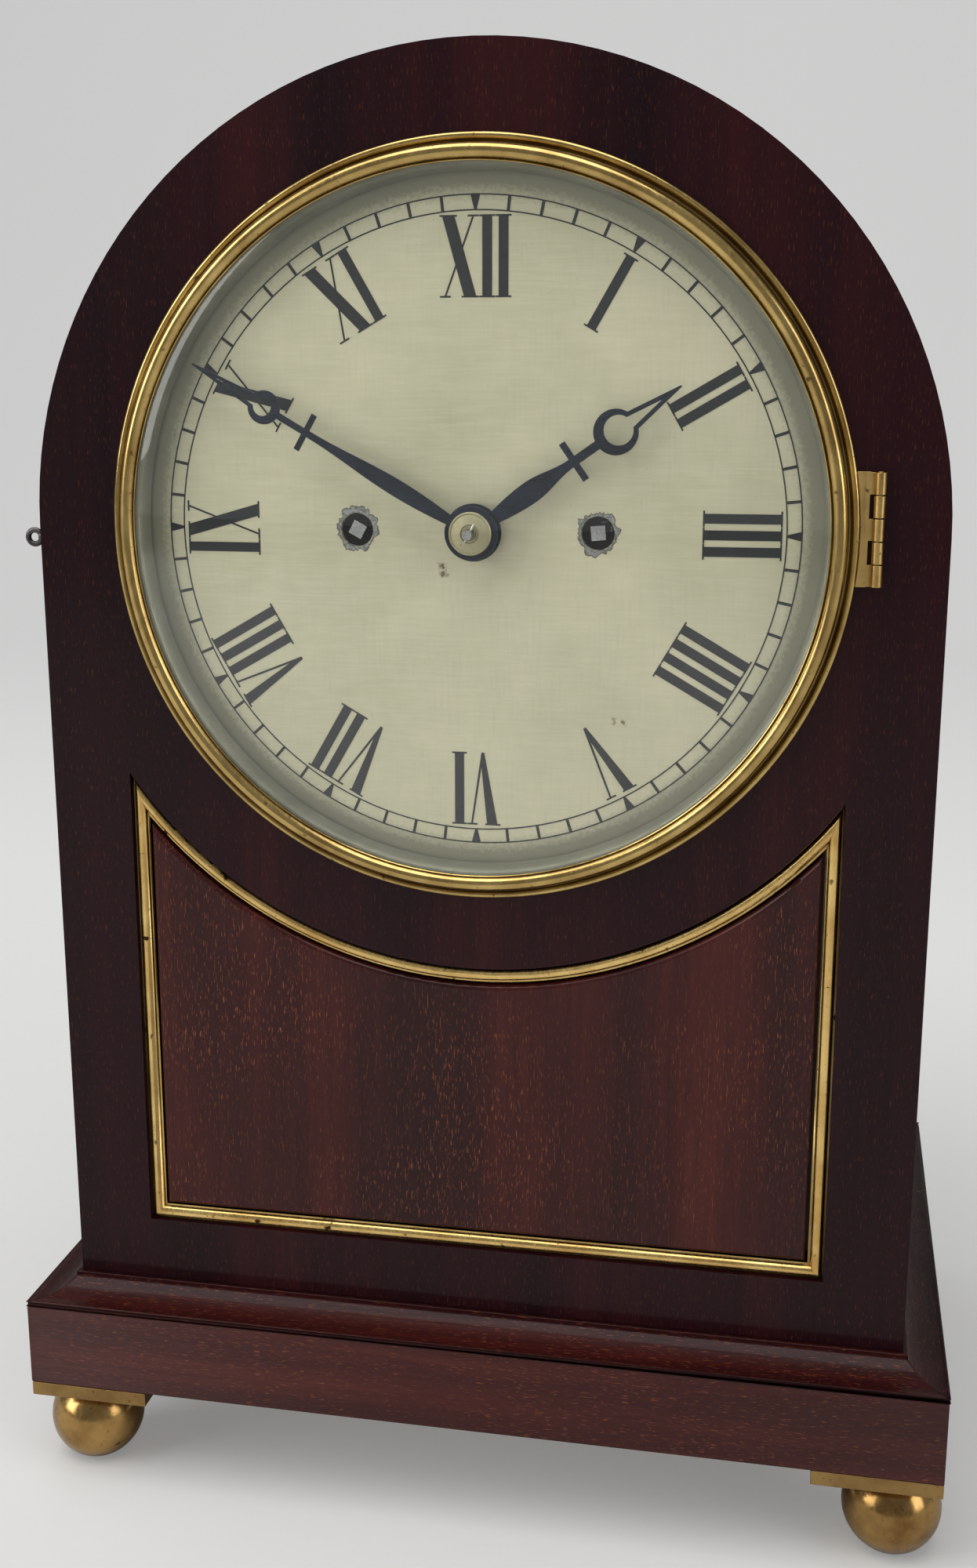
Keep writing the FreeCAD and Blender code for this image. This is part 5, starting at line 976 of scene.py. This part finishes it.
SWEEP_HALF = 4.5
SWEEP_FRONT = -4.0
SWEEP_BEND = 1.6
SWEEP_RADIUS = 1.5
SWEEP_HIGH = 5.0
SWEEP_STEPS = 32
sweep_line = [(SWEEP_FRONT, 0.0), (SWEEP_BEND, 0.0)]
for step in range(1, SWEEP_STEPS + 1):
    angle = math.pi / 2 * step / SWEEP_STEPS
    sweep_line.append((SWEEP_BEND + SWEEP_RADIUS * math.sin(angle), SWEEP_RADIUS * (1 - math.cos(angle))))
sweep_line.append((SWEEP_BEND + SWEEP_RADIUS, SWEEP_HIGH))
shape = bmesh.new()
left_edge = [shape.verts.new((-SWEEP_HALF, y, z)) for y, z in sweep_line]
right_edge = [shape.verts.new((SWEEP_HALF, y, z)) for y, z in sweep_line]
for step in range(len(sweep_line) - 1):
    face = shape.faces.new((left_edge[step], right_edge[step], right_edge[step + 1], left_edge[step + 1]))
    face.smooth = True
sweep = placed("paper_sweep", meshed("paper_sweep", shape, paper()))


def soft_box(name, place, aim, wide, high, watts):
    """Large soft lamp at a place, turned to face a point."""
    lamp = bpy.data.lights.new(name, "AREA")
    lamp.shape = "RECTANGLE"
    lamp.size = wide
    lamp.size_y = high
    lamp.energy = watts
    box = placed(name, lamp)
    box.location = place
    box.rotation_euler = (Vector(aim) - Vector(place)).to_track_quat("-Z", "Y").to_euler()


middle = (0.0, 0.0, 0.2)
soft_box("overhead", (-0.3, -0.5, 2.1), middle, 1.9, 1.5, 28.0)
soft_box("left_window", (-1.9, -1.3, 1.2), middle, 1.2, 1.7, 26.0)
soft_box("right_fill", (1.9, -0.9, 0.9), middle, 0.9, 1.5, 11.0)
SKY_LIGHT = (0.80, 0.82, 0.84, 1.0)
SKY_SEEN = (0.63, 0.63, 0.625, 1.0)
world = bpy.data.worlds.new("studio")
world.use_nodes = True
sky = world.node_tree
backdrop = sky.nodes["Background"]
backdrop.inputs["Color"].default_value = SKY_LIGHT
backdrop.inputs["Strength"].default_value = 0.35
pale = node(sky, "ShaderNodeBackground", {"Color": SKY_SEEN, "Strength": 1.0})
either(sky, seen_directly(sky), backdrop, pale, "World Output")
bpy.context.scene.world = world
bpy.context.scene.view_settings.view_transform = "Standard"

# ---- camera ---------------------------------------------------------------------------------
# Close in front of the clock, a little to the right of it and above the middle of the dial, looking
# slightly down and to the left, so that all its front and a little of its right side show.
camera_data = bpy.data.cameras.new("camera")
camera_data.sensor_fit = "VERTICAL"
camera_data.sensor_height = 36.0
camera_data.lens = 39.66
camera_data.clip_start = 0.02
camera = placed("camera", camera_data)
camera.location = (0.0935, -0.5393, 0.3348)
camera.rotation_euler = (math.radians(76.98), 0.0, math.radians(11.0))
bpy.context.scene.camera = camera
